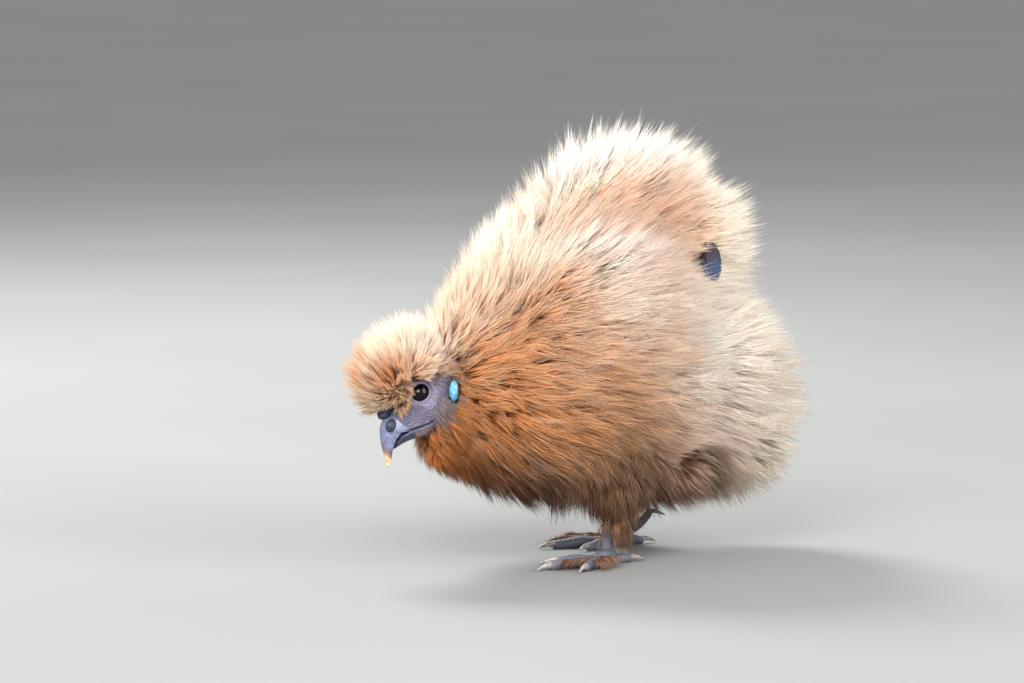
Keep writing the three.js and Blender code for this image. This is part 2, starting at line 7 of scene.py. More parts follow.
import bpy
import numpy as np
from mathutils import Matrix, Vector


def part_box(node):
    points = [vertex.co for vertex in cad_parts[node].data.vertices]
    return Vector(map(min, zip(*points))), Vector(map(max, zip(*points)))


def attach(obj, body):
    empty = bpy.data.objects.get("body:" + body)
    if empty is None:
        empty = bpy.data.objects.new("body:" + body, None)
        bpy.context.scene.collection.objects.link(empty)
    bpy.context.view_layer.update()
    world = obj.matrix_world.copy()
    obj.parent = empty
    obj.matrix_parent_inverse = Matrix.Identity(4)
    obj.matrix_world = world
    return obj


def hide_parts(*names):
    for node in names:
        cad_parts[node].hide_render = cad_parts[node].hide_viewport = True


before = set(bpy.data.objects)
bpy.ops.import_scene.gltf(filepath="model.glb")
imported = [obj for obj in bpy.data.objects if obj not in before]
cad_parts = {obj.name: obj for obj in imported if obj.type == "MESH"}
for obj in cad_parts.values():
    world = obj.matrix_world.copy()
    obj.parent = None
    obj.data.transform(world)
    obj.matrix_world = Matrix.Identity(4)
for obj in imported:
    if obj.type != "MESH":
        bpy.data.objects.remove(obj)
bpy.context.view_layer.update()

MM = 0.001
print("nodes in the solid model:", len(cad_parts))

# %% [markdown]
# The bird was drawn in millimetres about its own middle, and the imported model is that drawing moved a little. One
# piece that both have, the left eye, gives the move. Everything below is worked out in the drawing's millimetres.

# %% From the drawing's millimetres to the frame's metres
SKULL = np.array([-98.5, 0.0, 91.0])  # the middle of the skull
HEAD_TURN, HEAD_DIP, HEAD_ROLL = 174, 40, 16  # degrees
DRAWN_EYE = [4.0, 8.6, 2.0]  # the solid left eye, in mm forward, to the left and up from the skull's middle
# The dressed eye stands a little further back and lower than the solid one, as in the photograph
EYE = {"forward": 2.8, "out": 8.6, "up": 1.5, "radius": 5.8}
LOBE_AT, LOBE_TILT = np.array([-10.8, 11.9, -9.6]), 44  # mm forward, out and up, and degrees
HEAD_SIDE = {"left": 1, "right": -1}  # left is positive in the head's own directions
BODY_SIDE = {"left": -1, "right": 1}  # and negative in the drawing's


def turned(turn=0.0, dip=0.0, roll=0.0):
    """A turn about the upright, after a dip about the side axis, after a roll about the forward axis, in degrees."""
    a, b, c = np.radians([turn, dip, roll])
    about_z = np.array([[np.cos(a), -np.sin(a), 0], [np.sin(a), np.cos(a), 0], [0, 0, 1]])
    about_y = np.array([[np.cos(b), 0, np.sin(b)], [0, 1, 0], [-np.sin(b), 0, np.cos(b)]])
    about_x = np.array([[1, 0, 0], [0, np.cos(c), -np.sin(c)], [0, np.sin(c), np.cos(c)]])
    return about_z @ about_y @ about_x


head_turn = turned(HEAD_TURN, HEAD_DIP, HEAD_ROLL)


def from_head(points):
    """Points given as forward, to the bird's left and up from the skull's middle, in the drawing's millimetres."""
    return SKULL + np.asarray(points, float) @ head_turn.T


def to_head(points):
    """The opposite of from_head."""
    return (np.asarray(points, float) - SKULL) @ head_turn


eye_corners = np.array([list(corner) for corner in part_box("eye_left")])
shift = eye_corners.mean(0) / MM - from_head(DRAWN_EYE)
print("the packed model stands", shift.round(2), "mm from the drawing")

# %% [markdown]
# A mesh is only a list of points and a list of faces, and whole arrays put both in at once. Each face makes a small
# pyramid with the origin. Where their volumes add up to less than nothing, the faces look inwards, and each one is
# turned round.

# %% Points and faces into a mesh
def put_mesh(name, points, faces):
    """A mesh object of points in the drawing's millimetres and faces of equal count, looking outwards."""
    points, faces = np.asarray(points, float), np.asarray(faces)
    a, b, c = (points[faces[:, k]] for k in (0, 1, 2))
    volume = np.einsum("ij,ij->i", a, np.cross(b, c)).sum()
    if faces.shape[1] == 4:
        volume += np.einsum("ij,ij->i", a, np.cross(c, points[faces[:, 3]])).sum()
    if volume < 0:
        faces = faces[:, ::-1]
    mesh = bpy.data.meshes.new(name)
    mesh.vertices.add(len(points))
    mesh.vertices.foreach_set("co", ((points + shift) * MM).ravel().astype(np.float32))
    mesh.loops.add(faces.size)
    mesh.loops.foreach_set("vertex_index", faces.ravel().astype(np.int32))
    mesh.polygons.add(len(faces))
    mesh.polygons.foreach_set("loop_start", np.arange(0, faces.size, faces.shape[1], dtype=np.int32))
    mesh.update(calc_edges=True)
    mesh.polygons.foreach_set("use_smooth", np.ones(len(faces), bool))
    piece = bpy.data.objects.new(name, mesh)
    bpy.context.scene.collection.objects.link(piece)
    return piece


def ring_quads(rows, following, sides):
    """Quads between rings. rows holds the number of each ring's first point, and following that of the next ring's."""
    at = np.arange(sides)
    after = np.roll(at, -1)
    return np.stack([rows + at, rows + after, following + after, following + at], -1).reshape(-1, 4)


def hoop(name, rings):
    """A closed ring-shaped skin: rings of points whose last one joins the first."""
    count, sides = rings.shape[:2]
    rows = np.arange(count)[:, None] * sides
    return put_mesh(name, rings.reshape(-1, 3), ring_quads(rows, np.roll(rows, -1, 0), sides))


def shell(name, rings):
    """A closed skin over rings of points. The first and last rings close on their own middles."""
    count, sides = rings.shape[:2]
    at = np.arange(sides)
    after = np.roll(at, -1)
    rows = np.arange(count - 1)[:, None] * sides
    quads = ring_quads(rows, rows + sides, sides)
    points = np.vstack([rings.reshape(-1, 3), rings[0].mean(0), rings[-1].mean(0)])
    start, end = count * sides, count * sides + 1
    last = (count - 1) * sides
    halves = np.vstack([quads[:, [0, 1, 2]], quads[:, [0, 2, 3]]])
    first_fan = np.stack([np.full(sides, start), after, at], -1)
    last_fan = np.stack([np.full(sides, end), last + at, last + after], -1)
    return put_mesh(name, points, np.vstack([halves, first_fan, last_fan]))


def dress(piece, slot, *nodes, material=None):
    """Hangs a finished piece on the root, hides the solid nodes that it stands for and gives it its material. slot is
    not used.
    """
    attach(piece, "root")
    if nodes:
        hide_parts(*nodes)
    if material:
        piece.data.materials.clear()
        piece.data.materials.append(material)
    return piece


# %% [markdown]
# What isn't an egg is shaped by a smooth curve through a few stations, an even step, a bell, and an unevenness that
# keeps surfaces from looking machined.

# %% Curves without corners, and a gentle unevenness
def smooth_between(at, knots, values):
    """A curve through the values at the knots: cubics whose slope at a knot comes from its two neighbours."""
    knots, values, at = np.asarray(knots, float), np.asarray(values, float), np.asarray(at, float)
    slope = np.gradient(values, knots)
    i = np.clip(np.searchsorted(knots, at, side="right") - 1, 0, len(knots) - 2)
    span = knots[i + 1] - knots[i]
    t = (at - knots[i]) / span
    rising = t * t * (3 - 2 * t)
    bend = span * (t * (1 - t) ** 2 * slope[i] - t * t * (1 - t) * slope[i + 1])
    return values[i] * (1 - rising) + values[i + 1] * rising + bend


def ripple(points, size, seed, waves=16):
    """Smooth unevenness from about -1 to 1: the mean of sine waves of one length in directions drawn at random."""
    draw = np.random.default_rng(seed)
    ways = draw.normal(size=(waves, 3))
    ways *= (2 * np.pi / size / np.linalg.norm(ways, axis=1))[:, None]
    return np.sin(points @ ways.T + draw.uniform(0, 2 * np.pi, waves)).sum(-1) / np.sqrt(waves)


def step_up(values, low, high):
    """0 below low, 1 above high and an even curve between."""
    t = np.clip((values - low) / (high - low), 0, 1)
    return t * t * (3 - 2 * t)


def bell(distance, width):
    """1 at no distance, falling evenly to nothing over about twice the width."""
    return np.exp(-((distance / width) ** 2))


# %% [markdown]
# The photograph was taken with a long lens from the bird's front left, a little above its middle. A long lens keeps
# near and far parts at almost the same scale, so the camera stands three metres away.

# %% Camera
RIGHTWARD = np.array([0.866, -0.5, 0.0])  # the picture's right and up, as ways in the frame
UPWARD = np.array([0.0523, 0.0905, 0.9945])
LENS, SENSOR = 200.0, 36.0  # mm
COLUMNS, PIXEL = 1024, 0.52  # the picture's columns, and mm on the bird for each
AIM_RIGHT, AIM_UP = -39.0, 111.85  # mm from the drawing's origin to what the picture's middle shows
toward_camera = np.cross(RIGHTWARD, UPWARD)
toward_camera /= np.linalg.norm(toward_camera)
aim = RIGHTWARD * AIM_RIGHT + UPWARD * AIM_UP
distance = COLUMNS * PIXEL * LENS / SENSOR

camera_data = bpy.data.cameras.new("camera")
camera_data.lens, camera_data.sensor_width = LENS, SENSOR
camera_data.clip_end = 20
camera = bpy.data.objects.new("camera", camera_data)
bpy.context.scene.collection.objects.link(camera)
place = np.eye(4)
place[:3, 0], place[:3, 1], place[:3, 2] = RIGHTWARD, np.cross(toward_camera, RIGHTWARD), toward_camera
place[:3, 3] = (aim + shift + toward_camera * distance) * MM
camera.matrix_world = Matrix(place.tolist())
bpy.context.scene.camera = camera
print("camera", round(distance * MM, 2), "m from the bird")

# %% [markdown]
# ## The masses of the body
# Each mass is an egg with its own coat: a depth, a way that the silk flows back from, and a length. Where eggs meet,
# a soft minimum of their distances fills the crease, as feathers fill it on the bird.

# %% The eggs, out to the tips of the coat
BEAK, SHOULDER, SADDLE = [-132, 0, 98], [-125, 0, 150], [-70, 0, 120]  # what the coat is combed away from
MASSES = {
    # middle, half sizes, rise and turn in degrees, coat depth, combed away from, run along the skin, how upright
    "neck": ([-64, 0, 108], [38, 33, 35], 40, 0, 16, BEAK, 20, 0.85),
    "throat": ([-81, 0, 69], [23.5, 19, 23], 10, 0, 9, [-125, 0, 95], 13, 0.9),
    "breast": ([-37, 0, 85], [61, 60, 60], 20, 0, 20, BEAK, 25, 0.85),
    "belly": ([14, 0, 92], [72, 61, 62], 10, 0, 20, BEAK, 26, 0.9),
    "back": ([-14, 0, 132], [72, 54, 58], 35, 0, 20, BEAK, 27, 0.9),
    "cushion": ([18, 0, 169], [67, 43, 56], 10, 0, 26, SADDLE, 20, 1.05),
    "tail": ([46, -2, 159], [51, 39, 50], -24, 0, 24, SADDLE, 20, 1.05),
    "fluff": ([60, 0, 88], [64, 57, 58], 0, 0, 26, SHOULDER, 22, 1.05),
    "rump": ([82, 0, 58], [38, 45, 35], 0, 0, 20, SHOULDER, 20, 1.0),
    "vent": ([42, 0, 50], [36, 44, 29], 0, 0, 18, SHOULDER, 18, 0.95),
    "wing_left": ([-8, -35, 136], [52, 39, 46], 8, 0, 22, [-130, 0, 118], 24, 0.9),
    "wing_right": ([-8, 35, 136], [52, 39, 46], 8, 0, 22, [-130, 0, 118], 24, 0.9),
    "thigh_left": ([1, -27, 50], [31, 20, 25], 82, 0, 11, [-10, -10, 130], 18, 0.85),
    "thigh_right": ([39, 27, 50], [31, 20, 25], 82, 0, 11, [28, 10, 130], 18, 0.85),
}
# The same for the two masses of the head, in the head's own directions
HEAD_MASSES = {
    "crest": ([1, 0, 13], [36.0, 34.5, 29.8], 22, [23, 0, -3], 10, 1.05),
    "face": ([0, 0, 0], [21.5, 14.5, 15.5], 3.2, [-4, 0, 24], 8, 0.9),
}


def mass_rows():
    """Every mass as rows of one table: middle, own directions, half sizes of the skin, coat, source, run, stand."""
    for middle, half, rise, turn, coat, source, run, stand in MASSES.values():
        yield middle, turned(turn, -rise), np.array(half) - coat, coat, source, run, stand
    for middle, half, coat, source, run, stand in HEAD_MASSES.values():
        yield from_head(middle), head_turn, np.array(half) - coat, coat, from_head(source), run, stand


NAMES = list(MASSES) + list(HEAD_MASSES)
MIDDLE, OWN, HALF, COAT, SOURCE, RUN, STAND = (np.array(column, float) for column in zip(*mass_rows()))
TRUNK = np.isin(NAMES, ["neck", "throat", "breast", "belly", "back", "wing_left", "wing_right"])
FILL = 4.0  # mm, how far a crease between two masses fills
TRUNK_FILL, TRUNK_INSET = 9.0, 3.5  # mm, the same for the masses of the trunk, and how far that blend is set back


def unit(vectors):
    """Vectors made one long."""
    return vectors / np.maximum(np.linalg.norm(vectors, axis=-1, keepdims=True), 1e-9)


def soft_least(heights, fill):
    """The soft minimum of each row, -fill * log(sum(exp(-height / fill))), and each column's share in it."""
    least = heights.min(1, keepdims=True)
    near = np.exp((least - heights) / fill)
    whole = near.sum(1, keepdims=True)
    return (least - fill * np.log(whole))[:, 0], near / whole


def lie(points):
    """Height over the skin, the way out, the way that the coat is combed and each mass's share, at every point.

    In a mass's own directions divided by its half sizes it is a ball. A point r from its middle stands (r - 1) r /
    |x / half| over it. The coat is combed away from the mass's source, as far as that runs along the skin."""
    local = np.einsum("nki,kij->nkj", points[:, None] - MIDDLE, OWN) / HALF
    radius = np.linalg.norm(local, axis=2, keepdims=True)
    steep = local / HALF
    slope = np.linalg.norm(steep, axis=2, keepdims=True)
    height = ((radius - 1) * radius / slope)[..., 0]
    outward = np.einsum("nkj,kij->nki", steep / slope, OWN)
    inner, inner_share = soft_least(height[:, TRUNK], TRUNK_FILL)
    total, outer_share = soft_least(np.column_stack([inner + TRUNK_INSET, height[:, ~TRUNK]]), FILL)
    share = np.empty_like(height)
    share[:, TRUNK], share[:, ~TRUNK] = outer_share[:, :1] * inner_share, outer_share[:, 1:]
    out = unit(np.einsum("nk,nki->ni", share, outward))
    combed = np.einsum("nk,nki->ni", share, unit(points[:, None] - SOURCE))
    combed = combed - out * np.einsum("ni,ni->n", combed, out)[:, None]
    return total, out, combed, share


print("masses:", ", ".join(NAMES))

# %% [markdown]
# ## Skin
# The skin is one closed surface. Balls are worked out as grids of latitude and longitude, stretched to the eggs, and
# Blender's voxel remesh melts them into one. Smooth then takes the steps out. It is unwrapped here, because every
# tuft of the coat takes the place of its root on this unwrap.

# %% The skin under the coat
def ball(middle, own, half, rows=24, sides=40):
    """Rings of an egg: latitude rows and longitude sides of a ball, stretched by half and turned by own."""
    polar = np.linspace(0.02, np.pi - 0.02, rows)[:, None]
    round_ = np.linspace(0, 2 * np.pi, sides, endpoint=False)[None]
    spots = np.stack(
        [np.sin(polar) * np.cos(round_), np.sin(polar) * np.sin(round_), np.cos(polar) * np.ones_like(round_)], -1
    )
    return middle + (spots * half) @ own.T


def select_only(*pieces):
    """Selects the pieces and nothing else. The first is the active one."""
    bpy.ops.object.select_all(action="DESELECT")
    for piece in pieces:
        piece.select_set(True)
    bpy.context.view_layer.objects.active = pieces[0]


def joined(name, pieces):
    """One object made of several, which are used up."""
    select_only(*pieces)
    bpy.ops.object.join()
    pieces[0].name = name
    return pieces[0]


def melted(piece, voxel, passes):
    """The piece as one closed surface of faces voxel mm across, smoothed by so many passes."""
    remesh = piece.modifiers.new("melt", "REMESH")
    remesh.mode, remesh.voxel_size = "VOXEL", voxel * MM
    smooth = piece.modifiers.new("smooth", "SMOOTH")
    smooth.factor, smooth.iterations = 0.5, passes
    mesh = bpy.data.meshes.new_from_object(piece.evaluated_get(bpy.context.evaluated_depsgraph_get()))
    piece.modifiers.clear()
    piece.data = mesh
    mesh.polygons.foreach_set("use_smooth", np.ones(len(mesh.polygons), bool))
    return piece


def drawn_points(piece):
    """A piece's points in the drawing's millimetres."""
    points = np.empty(len(piece.data.vertices) * 3, np.float32)
    piece.data.vertices.foreach_get("co", points)
    return points.reshape(-1, 3).astype(float) / MM - shift


balls = [shell(f"mass_{name}", ball(MIDDLE[k], OWN[k], HALF[k])) for k, name in enumerate(NAMES)]
skin = melted(joined("skin", balls), 2.5, 16)
select_only(skin)
skin.data.uv_layers.new(name="OFBake")
bpy.ops.object.mode_set(mode="EDIT")
bpy.ops.mesh.select_all(action="SELECT")
bpy.ops.uv.smart_project(angle_limit=1.15, island_margin=0.004)
bpy.ops.object.mode_set(mode="OBJECT")
print("skin faces:", len(skin.data.polygons))

# %% [markdown]
# ## The colours of a buff silkie
# Buff runs from deep rust on the breast to cream on the back and the cushion. The marks are soft places on the
# body, each a named colour, and a point takes the mean of them, weighed by how near they are. Both sides are alike.
# Some places are painted light and shade rather than the coat's own colour.

# %% Markings, with painted light and shade
def linear(red, green, blue):
    """A colour from screen values, 0 to 255, to the straight scale that shaders use."""
    value = np.array([red, green, blue]) / 255
    return np.where(value < 0.04045, value / 12.92, ((value + 0.055) / 1.055) ** 2.4)


WHITE = linear(253, 249, 248)
CREAM = linear(252, 242, 230)
ROSE = linear(246, 229, 220)
PALE = linear(242, 212, 182)
TAN = linear(234, 188, 142)
FAWN = linear(214, 164, 120)
PEACH = linear(255, 214, 172)
GOLD = linear(230, 168, 100)
ORANGE = linear(218, 142, 64)
RUST = linear(212, 132, 52)
BROWN = linear(166, 116, 74)
UMBER = linear(134, 86, 48)
BUTTER = linear(250, 237, 217)
PAINTED_ROOT_SHADE = np.array([0.97, 0.87, 0.72])  # painted shade: what the coat's colours are multiplied by at the skin, deep in the coat

# Each place: along, out from the middle line and up in mm, its reach in mm, its colour and how far tips turn cream
PLACES = [
    ([-91, 15, 67], 14, ORANGE, 0.1),
    ([-78, 25, 52], 18, RUST, 0.1),
    # painted shade: umber under the breast, where the body shades itself
    ([-45, 18, 31], 17, UMBER, 0.05),
    ([-77, 42, 98], 16, GOLD, 0.2),
    ([-66, 56, 134], 15, GOLD, 0.1),
    ([-76, 44, 152], 9, PALE, 0.4),
    ([-96, 4, 124], 14, ROSE, 0.5),
    ([-66, 24, 150], 18, PALE, 0.6),
    ([-43, 68, 143], 14, TAN, 0.4),
    ([-1, 67, 146], 18, ROSE, 0.5),
    ([-18, 65, 104], 18, TAN, 0.3),
    ([-25, 57, 73], 18, GOLD, 0.2),
    # painted shade: brown low on the side, where the body shades itself
    ([5, 47, 49], 16, BROWN, 0.15),
    ([9, 10, 214], 24, WHITE, 0.7),
    ([6, 42, 199], 13, TAN, 0.3),
    # painted shadow: fawn at the cushion's base, where it sits over the saddle
    ([36, 43, 186], 14, FAWN, 0.1),
    ([52, 42, 172], 11, TAN, 0.35),
    ([20, 62, 148], 10, PALE, 0.3),
    ([80, 30, 176], 24, CREAM, 0.7),
    # painted shadow: the fawn band runs forward above the saddle's edge
    ([-28, 28, 191], 8, TAN, 0.3),
    ([-12, 36, 190], 8, TAN, 0.2),
    ([9, 42, 189], 8, FAWN, 0.15),
    # painted highlight: pale along the saddle's edge and down its rear end
    ([-40, 40, 178], 8, CREAM, 0.6),
    ([-12, 44, 177], 8, WHITE, 0.7),
    ([9, 53, 176], 8, WHITE, 0.7),
    ([34, 60, 166], 8, ROSE, 0.6),
    ([38, 66, 142], 8, ROSE, 0.5),
    ([22, 70, 118], 8, PALE, 0.4),
    # painted shadow: tan just behind the saddle's rear end
    ([50, 52, 133], 6, TAN, 0.2),
    ([40, 54, 110], 7, TAN, 0.2),
    ([64, 52, 112], 16, WHITE, 0.8),
    ([112, 20, 100], 34, CREAM, 0.7),
    ([60, 55, 68], 20, ROSE, 0.5),
    ([30, 55, 64], 14, TAN, 0.3),
    # painted shade: brown and umber under the belly, where the body shades itself
    ([-10, 34, 28], 16, BROWN, 0.2),
    ([40, 34, 28], 18, BROWN, 0.2),
    ([0, 0, 30], 24, UMBER, 0.1),
    ([-30, 0, 185], 26, CREAM, 0.6),
    ([-130, 16, 106], 10, ORANGE, 0.05),
    ([-127, 17, 93], 7, PALE, 0.5),
    ([-124, 4, 128], 9, BUTTER, 0.8),
    ([-114, 26, 108], 8, PALE, 0.4),
    ([-148, 2, 108], 8, BUTTER, 0.8),
    ([-140, 4, 86], 7, BUTTER, 0.6),
    # painted light: the forehead and the whorl above it are lightened where the crest shades them
    ([-119, 8, 84], 7, PEACH, 0.5),
    ([-117, 9, 94], 6, PALE, 0.5),
    ([-103, 20, 96], 5, ROSE, 0.4),
    # painted light: fawn lightens the shaded pocket between belly and rump
    ([56, 44, 48], 8, FAWN, 0.3),
    ([-70, 34, 66], 10, GOLD, 0.1),
]
PLACE_AT, PLACE_REACH, PLACE_COLOUR, PLACE_TIP = (np.array(column, float) for column in zip(*PLACES))


def one_side(points):
    """Points with their place across the bird made positive, because its two sides are alike."""
    return points * [1, 0, 1] + np.abs(points) * [0, 1, 0]


def marks_and_painted_light(points):
    """The coat's colour, with painted light and shade, and the share by which its tips turn cream: a mean of the
    places, weighed by a bell curve of the distance to each."""
    apart = np.linalg.norm(one_side(points)[:, None] - PLACE_AT, axis=2) / PLACE_REACH
    weight = np.exp(-0.5 * apart**2) + 1e-6 / (1 + apart**2)
    weight /= weight.sum(1, keepdims=True)
    return weight @ PLACE_COLOUR, weight @ PLACE_TIP


def tint(piece, colours):
    """Gives each point of a piece its colour, as the attribute tint."""
    layer = piece.data.color_attributes.new("tint", "FLOAT_COLOR", "POINT")
    layer.data.foreach_set("color", np.column_stack([colours, np.ones(len(colours))]).ravel().astype(np.float32))


skin_points = drawn_points(skin)
_, skin_out, _, skin_share = lie(skin_points)
skin_colours, _ = marks_and_painted_light(skin_points + skin_out * (skin_share @ COAT)[:, None])
under_crest = skin_share[:, [NAMES.index("crest")]]
SKIN_SHADE, CREST_SKIN_PAINTED_LIGHT = 0.75 * PAINTED_ROOT_SHADE, 1.1  # painted shade darkens the skin under the coat; under the crest the skin is painted lighter, so the shadowed parting stays light
skin_shade = SKIN_SHADE * (1 - under_crest) + CREST_SKIN_PAINTED_LIGHT * under_crest
tint(skin, np.clip(skin_colours * skin_shade, 0, 1))

# %% [markdown]
# A material is a small net of nodes. Each one below starts from the same helper, which joins the nodes it is given
# and leaves plain values on the shader's own sockets.

# %% Material helper
class Finish:
    """A material and its shader, with short words for adding and joining nodes."""

    def __init__(self, name, roughness=0.5, **sockets):
        self.material = bpy.data.materials.new(name)
        self.material.use_nodes = True
        self.tree = self.material.node_tree
        self.shader = self.tree.nodes["Principled BSDF"]
        self.shader.inputs["Roughness"].default_value = roughness
        for socket, value in sockets.items():
            self.shader.inputs[socket.replace("_", " ")].default_value = value

    def node(self, kind, **settings):
        """A new node. Settings named after a socket fill it, and the others are the node's own."""
        made = self.tree.nodes.new(kind)
        for key, value in settings.items():
            name = key.replace("_", " ")
            if name in made.inputs:
                made.inputs[name].default_value = value
            else:
                setattr(made, key, value)
        return made

    def join(self, source, target):
        """Joins an output to an input."""
        self.tree.links.new(source, target)

    def tint(self):
        """The colour that each point of the piece holds."""
        return self.node("ShaderNodeAttribute", attribute_name="tint").outputs["Color"]

    def noise(self, scale, detail=3.0, roughness=0.5):
        """Noise in Object coordinates, scale in waves a metre."""
        noise = self.node("ShaderNodeTexNoise", Scale=scale, Detail=detail, Roughness=roughness)
        self.join(self.node("ShaderNodeTexCoord").outputs["Object"], noise.inputs["Vector"])
        return noise.outputs["Fac"]

    def multiplied(self, first, second):
        """Two colours multiplied."""
        mix = self.node("ShaderNodeMixRGB", blend_type="MULTIPLY", Fac=1.0)
        self.join(first, mix.inputs[1])
        self.join(second, mix.inputs[2])
        return mix.outputs[0]

    def ramp(self, source, *stops):
        """A colour for each height of the source, from stops of (height, colour)."""
        ramp = self.node("ShaderNodeValToRGB")
        elements = ramp.color_ramp.elements
        while len(elements) < len(stops):
            elements.new(0.5)
        for element, (height, colour) in zip(elements, stops):
            element.position, element.color = height, (*colour, 1)
        self.join(source, ramp.inputs["Fac"])
        return ramp.outputs["Color"]

    def bump(self, source, depth, strength=0.6):
        """Relief from a source, depth in metres."""
        bump = self.node("ShaderNodeBump", Strength=strength, Distance=depth)
        self.join(source, bump.inputs["Height"])
        self.join(bump.outputs["Normal"], self.shader.inputs["Normal"])

    def colour(self, source):
        """What the shader is coloured by."""
        self.join(source, self.shader.inputs["Base Color"])


# %% Silk and skin materials
def silk_finish():
    """Silk: the tint of each blade, a soft sheen, and some light that comes through from behind."""
    finish = Finish("silk", 0.6, Specular_IOR_Level=0.12, Sheen_Weight=0.06, Sheen_Roughness=0.4)
    tone = finish.tint()
    finish.colour(tone)
    glow = finish.node("ShaderNodeBsdfTranslucent")
    finish.join(tone, glow.inputs["Color"])
    blend = finish.node("ShaderNodeMixShader", Fac=0.48)
    finish.join(finish.shader.outputs["BSDF"], blend.inputs[1])
    finish.join(glow.outputs["BSDF"], blend.inputs[2])
    finish.join(blend.outputs["Shader"], finish.tree.nodes["Material Output"].inputs["Surface"])
    return finish.material


def skin_finish():
    """Skin under the coat: the coat's colours, darkened as painted shade and lightened under the crest as painted
    light, with the small bumps that feathers grow from.
    """
    finish = Finish("skin", 0.8, Specular_IOR_Level=0.2)
    finish.colour(finish.tint())
    finish.bump(finish.noise(900), 0.0008)
    return finish.material


silk = silk_finish()
fleece = [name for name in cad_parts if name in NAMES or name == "torso"]
dress(skin, "buff_plumage", *fleece, material=skin_finish())
print("the skin stands for", ", ".join(sorted(fleece)))

# %% [markdown]
# ## Coat
# Tufts root where random points fall on the skin's faces, each face as often as its size and its region ask. A tuft
# is combed out step by step: along the flow, then up or down to the height that its part of the coat has there. Every
# blade of a tuft follows its path, starting a little apart and gathering towards the tip. The cheek is bare but for a
# thin, pale down.

# %% Where tufts root
# The face is bare between two lines, each given as places forward and heights in mm
FACE_TOP = ([-16, -12, -7, -3, 2, 6.3, 10, 14, 21], [-9, 0.5, 5.4, 7.0, 7.0, 5.0, 2.4, 1.3, 0.4])
FACE_LOW = ([-14, -9, 6.6, 20], [-10, -15.5, -15.5, -13.5])
FACE_BACK = -16  # mm forward, where the face ends in the neck


def bare_face(points):
    """True on the bare skin round the eye, the cheek and the beak."""
    forward, _, up = to_head(points).T
    lower = np.interp(forward, *FACE_LOW)
    upper = np.interp(forward, *FACE_TOP)
    return ((forward > -14) & (up < upper) & (up > lower)) | (forward > 21)


def skin_samples(count, thick, seed):
    """count points on the skin, their places on its unwrap and their masses. thick gives each mass's share."""
    mesh = skin.data
    mesh.calc_loop_triangles()
    corners = np.empty(len(mesh.loop_triangles) * 3, np.int32)
    mesh.loop_triangles.foreach_get("vertices", corners)
    corners = corners.reshape(-1, 3)
    loops = np.empty(len(mesh.loop_triangles) * 3, np.int32)
    mesh.loop_triangles.foreach_get("loops", loops)
    unwrap = np.empty(len(mesh.loops) * 2, np.float32)
    mesh.uv_layers["OFBake"].data.foreach_get("uv", unwrap)
    unwrap = unwrap.reshape(-1, 2)[loops.reshape(-1, 3)]
    spots = drawn_points(skin)[corners]
    size = np.linalg.norm(np.cross(spots[:, 1] - spots[:, 0], spots[:, 2] - spots[:, 0]), axis=1)
    mass = lie(spots.mean(1))[3].argmax(1)
    chance = size * thick[mass]
    draw = np.random.default_rng(seed)
    picked = draw.choice(len(spots), count, p=chance / chance.sum())
    mix = draw.dirichlet([1, 1, 1], count)
    roots = np.einsum("nc,nci->ni", mix, spots[picked])
    return roots, np.einsum("nc,nci->ni", mix, unwrap[picked]), mass[picked]


TUFTS = 17600
# How many times as many tufts a mass has on each patch of skin as the plainest ones
THICK = {"crest": 11.0, "face": 14.0, "neck": 2.2, "throat": 2.6, "cushion": 1.4, "tail": 1.5, "fluff": 1.3}
THICK |= {f"{part}_{side}": times for part, times in (("thigh", 1.6), ("wing", 1.5)) for side in BODY_SIDE}
roots, root_places, root_mass = skin_samples(TUFTS, np.array([THICK.get(name, 1.0) for name in NAMES]), 3)
on_face = root_mass == NAMES.index("face")
forward, _, up = to_head(roots).T
kept = ~((on_face | (root_mass == NAMES.index("crest"))) & bare_face(roots))
kept &= ~(on_face & (forward < FACE_BACK))
few = np.random.default_rng(9).random(len(roots)) < 0.3 * (1 - step_up(forward, -12, 12))
downy = on_face & bare_face(roots) & (np.hypot(forward - EYE["forward"], up - EYE["up"]) > 7.8) & few
kept |= downy
roots, root_places, root_mass, downy = roots[kept], root_places[kept], root_mass[kept], downy[kept]
print("tufts:", len(roots), dict(zip(NAMES, np.bincount(root_mass, minlength=len(NAMES)).tolist())))

# %% Combing the tufts out
STEPS = 8


def comb_out(roots, run, depth, stand, bend):
    """Paths from the roots. After a share q of its steps a path has run q ** 1.25 of its way along the skin, turned
    sideways more and more by bend, and stands at the height depth * q ** stand. Two rounds of averaging each point
    with its neighbours take out the kinks that creases leave."""
    total, out, combed, _ = lie(roots)
    path, ups = [roots - out * (total[:, None] + 1.5)], [out]
    for step in range(1, STEPS + 1):
        q = step / STEPS
        way = combed + np.cross(out, combed) * (bend * q)[:, None]
        at = path[-1] + way * (run * (q**1.25 - (q - 1 / STEPS) ** 1.25))[:, None]
        total, out, combed, _ = lie(at)
        path.append(at + out * (depth * q**stand - total)[:, None])
        ups.append(out)
    path = np.stack(path, 1)
    for _ in range(2):
        path[:, 1:-1] = path[:, 1:-1] / 2 + (path[:, :-2] + path[:, 2:]) / 4
    return path, np.stack(ups, 1)


def root_mass_in(*names):
    """True for the tufts that root on one of the named masses."""
    return np.isin(root_mass, [NAMES.index(name) for name in names])


draw = np.random.default_rng(11)
count = len(roots)
share = lie(roots)[3]
run = share @ RUN * draw.uniform(0.7, 1.25, count)
# crease is 1 where masses meet: tufts are shorter there, and lie lower
crease = 1 - step_up(np.maximum(share[:, TRUNK].sum(1), share[:, ~TRUNK].max(1)), 0.55, 0.9)
run = run * (1 - 0.45 * crease)
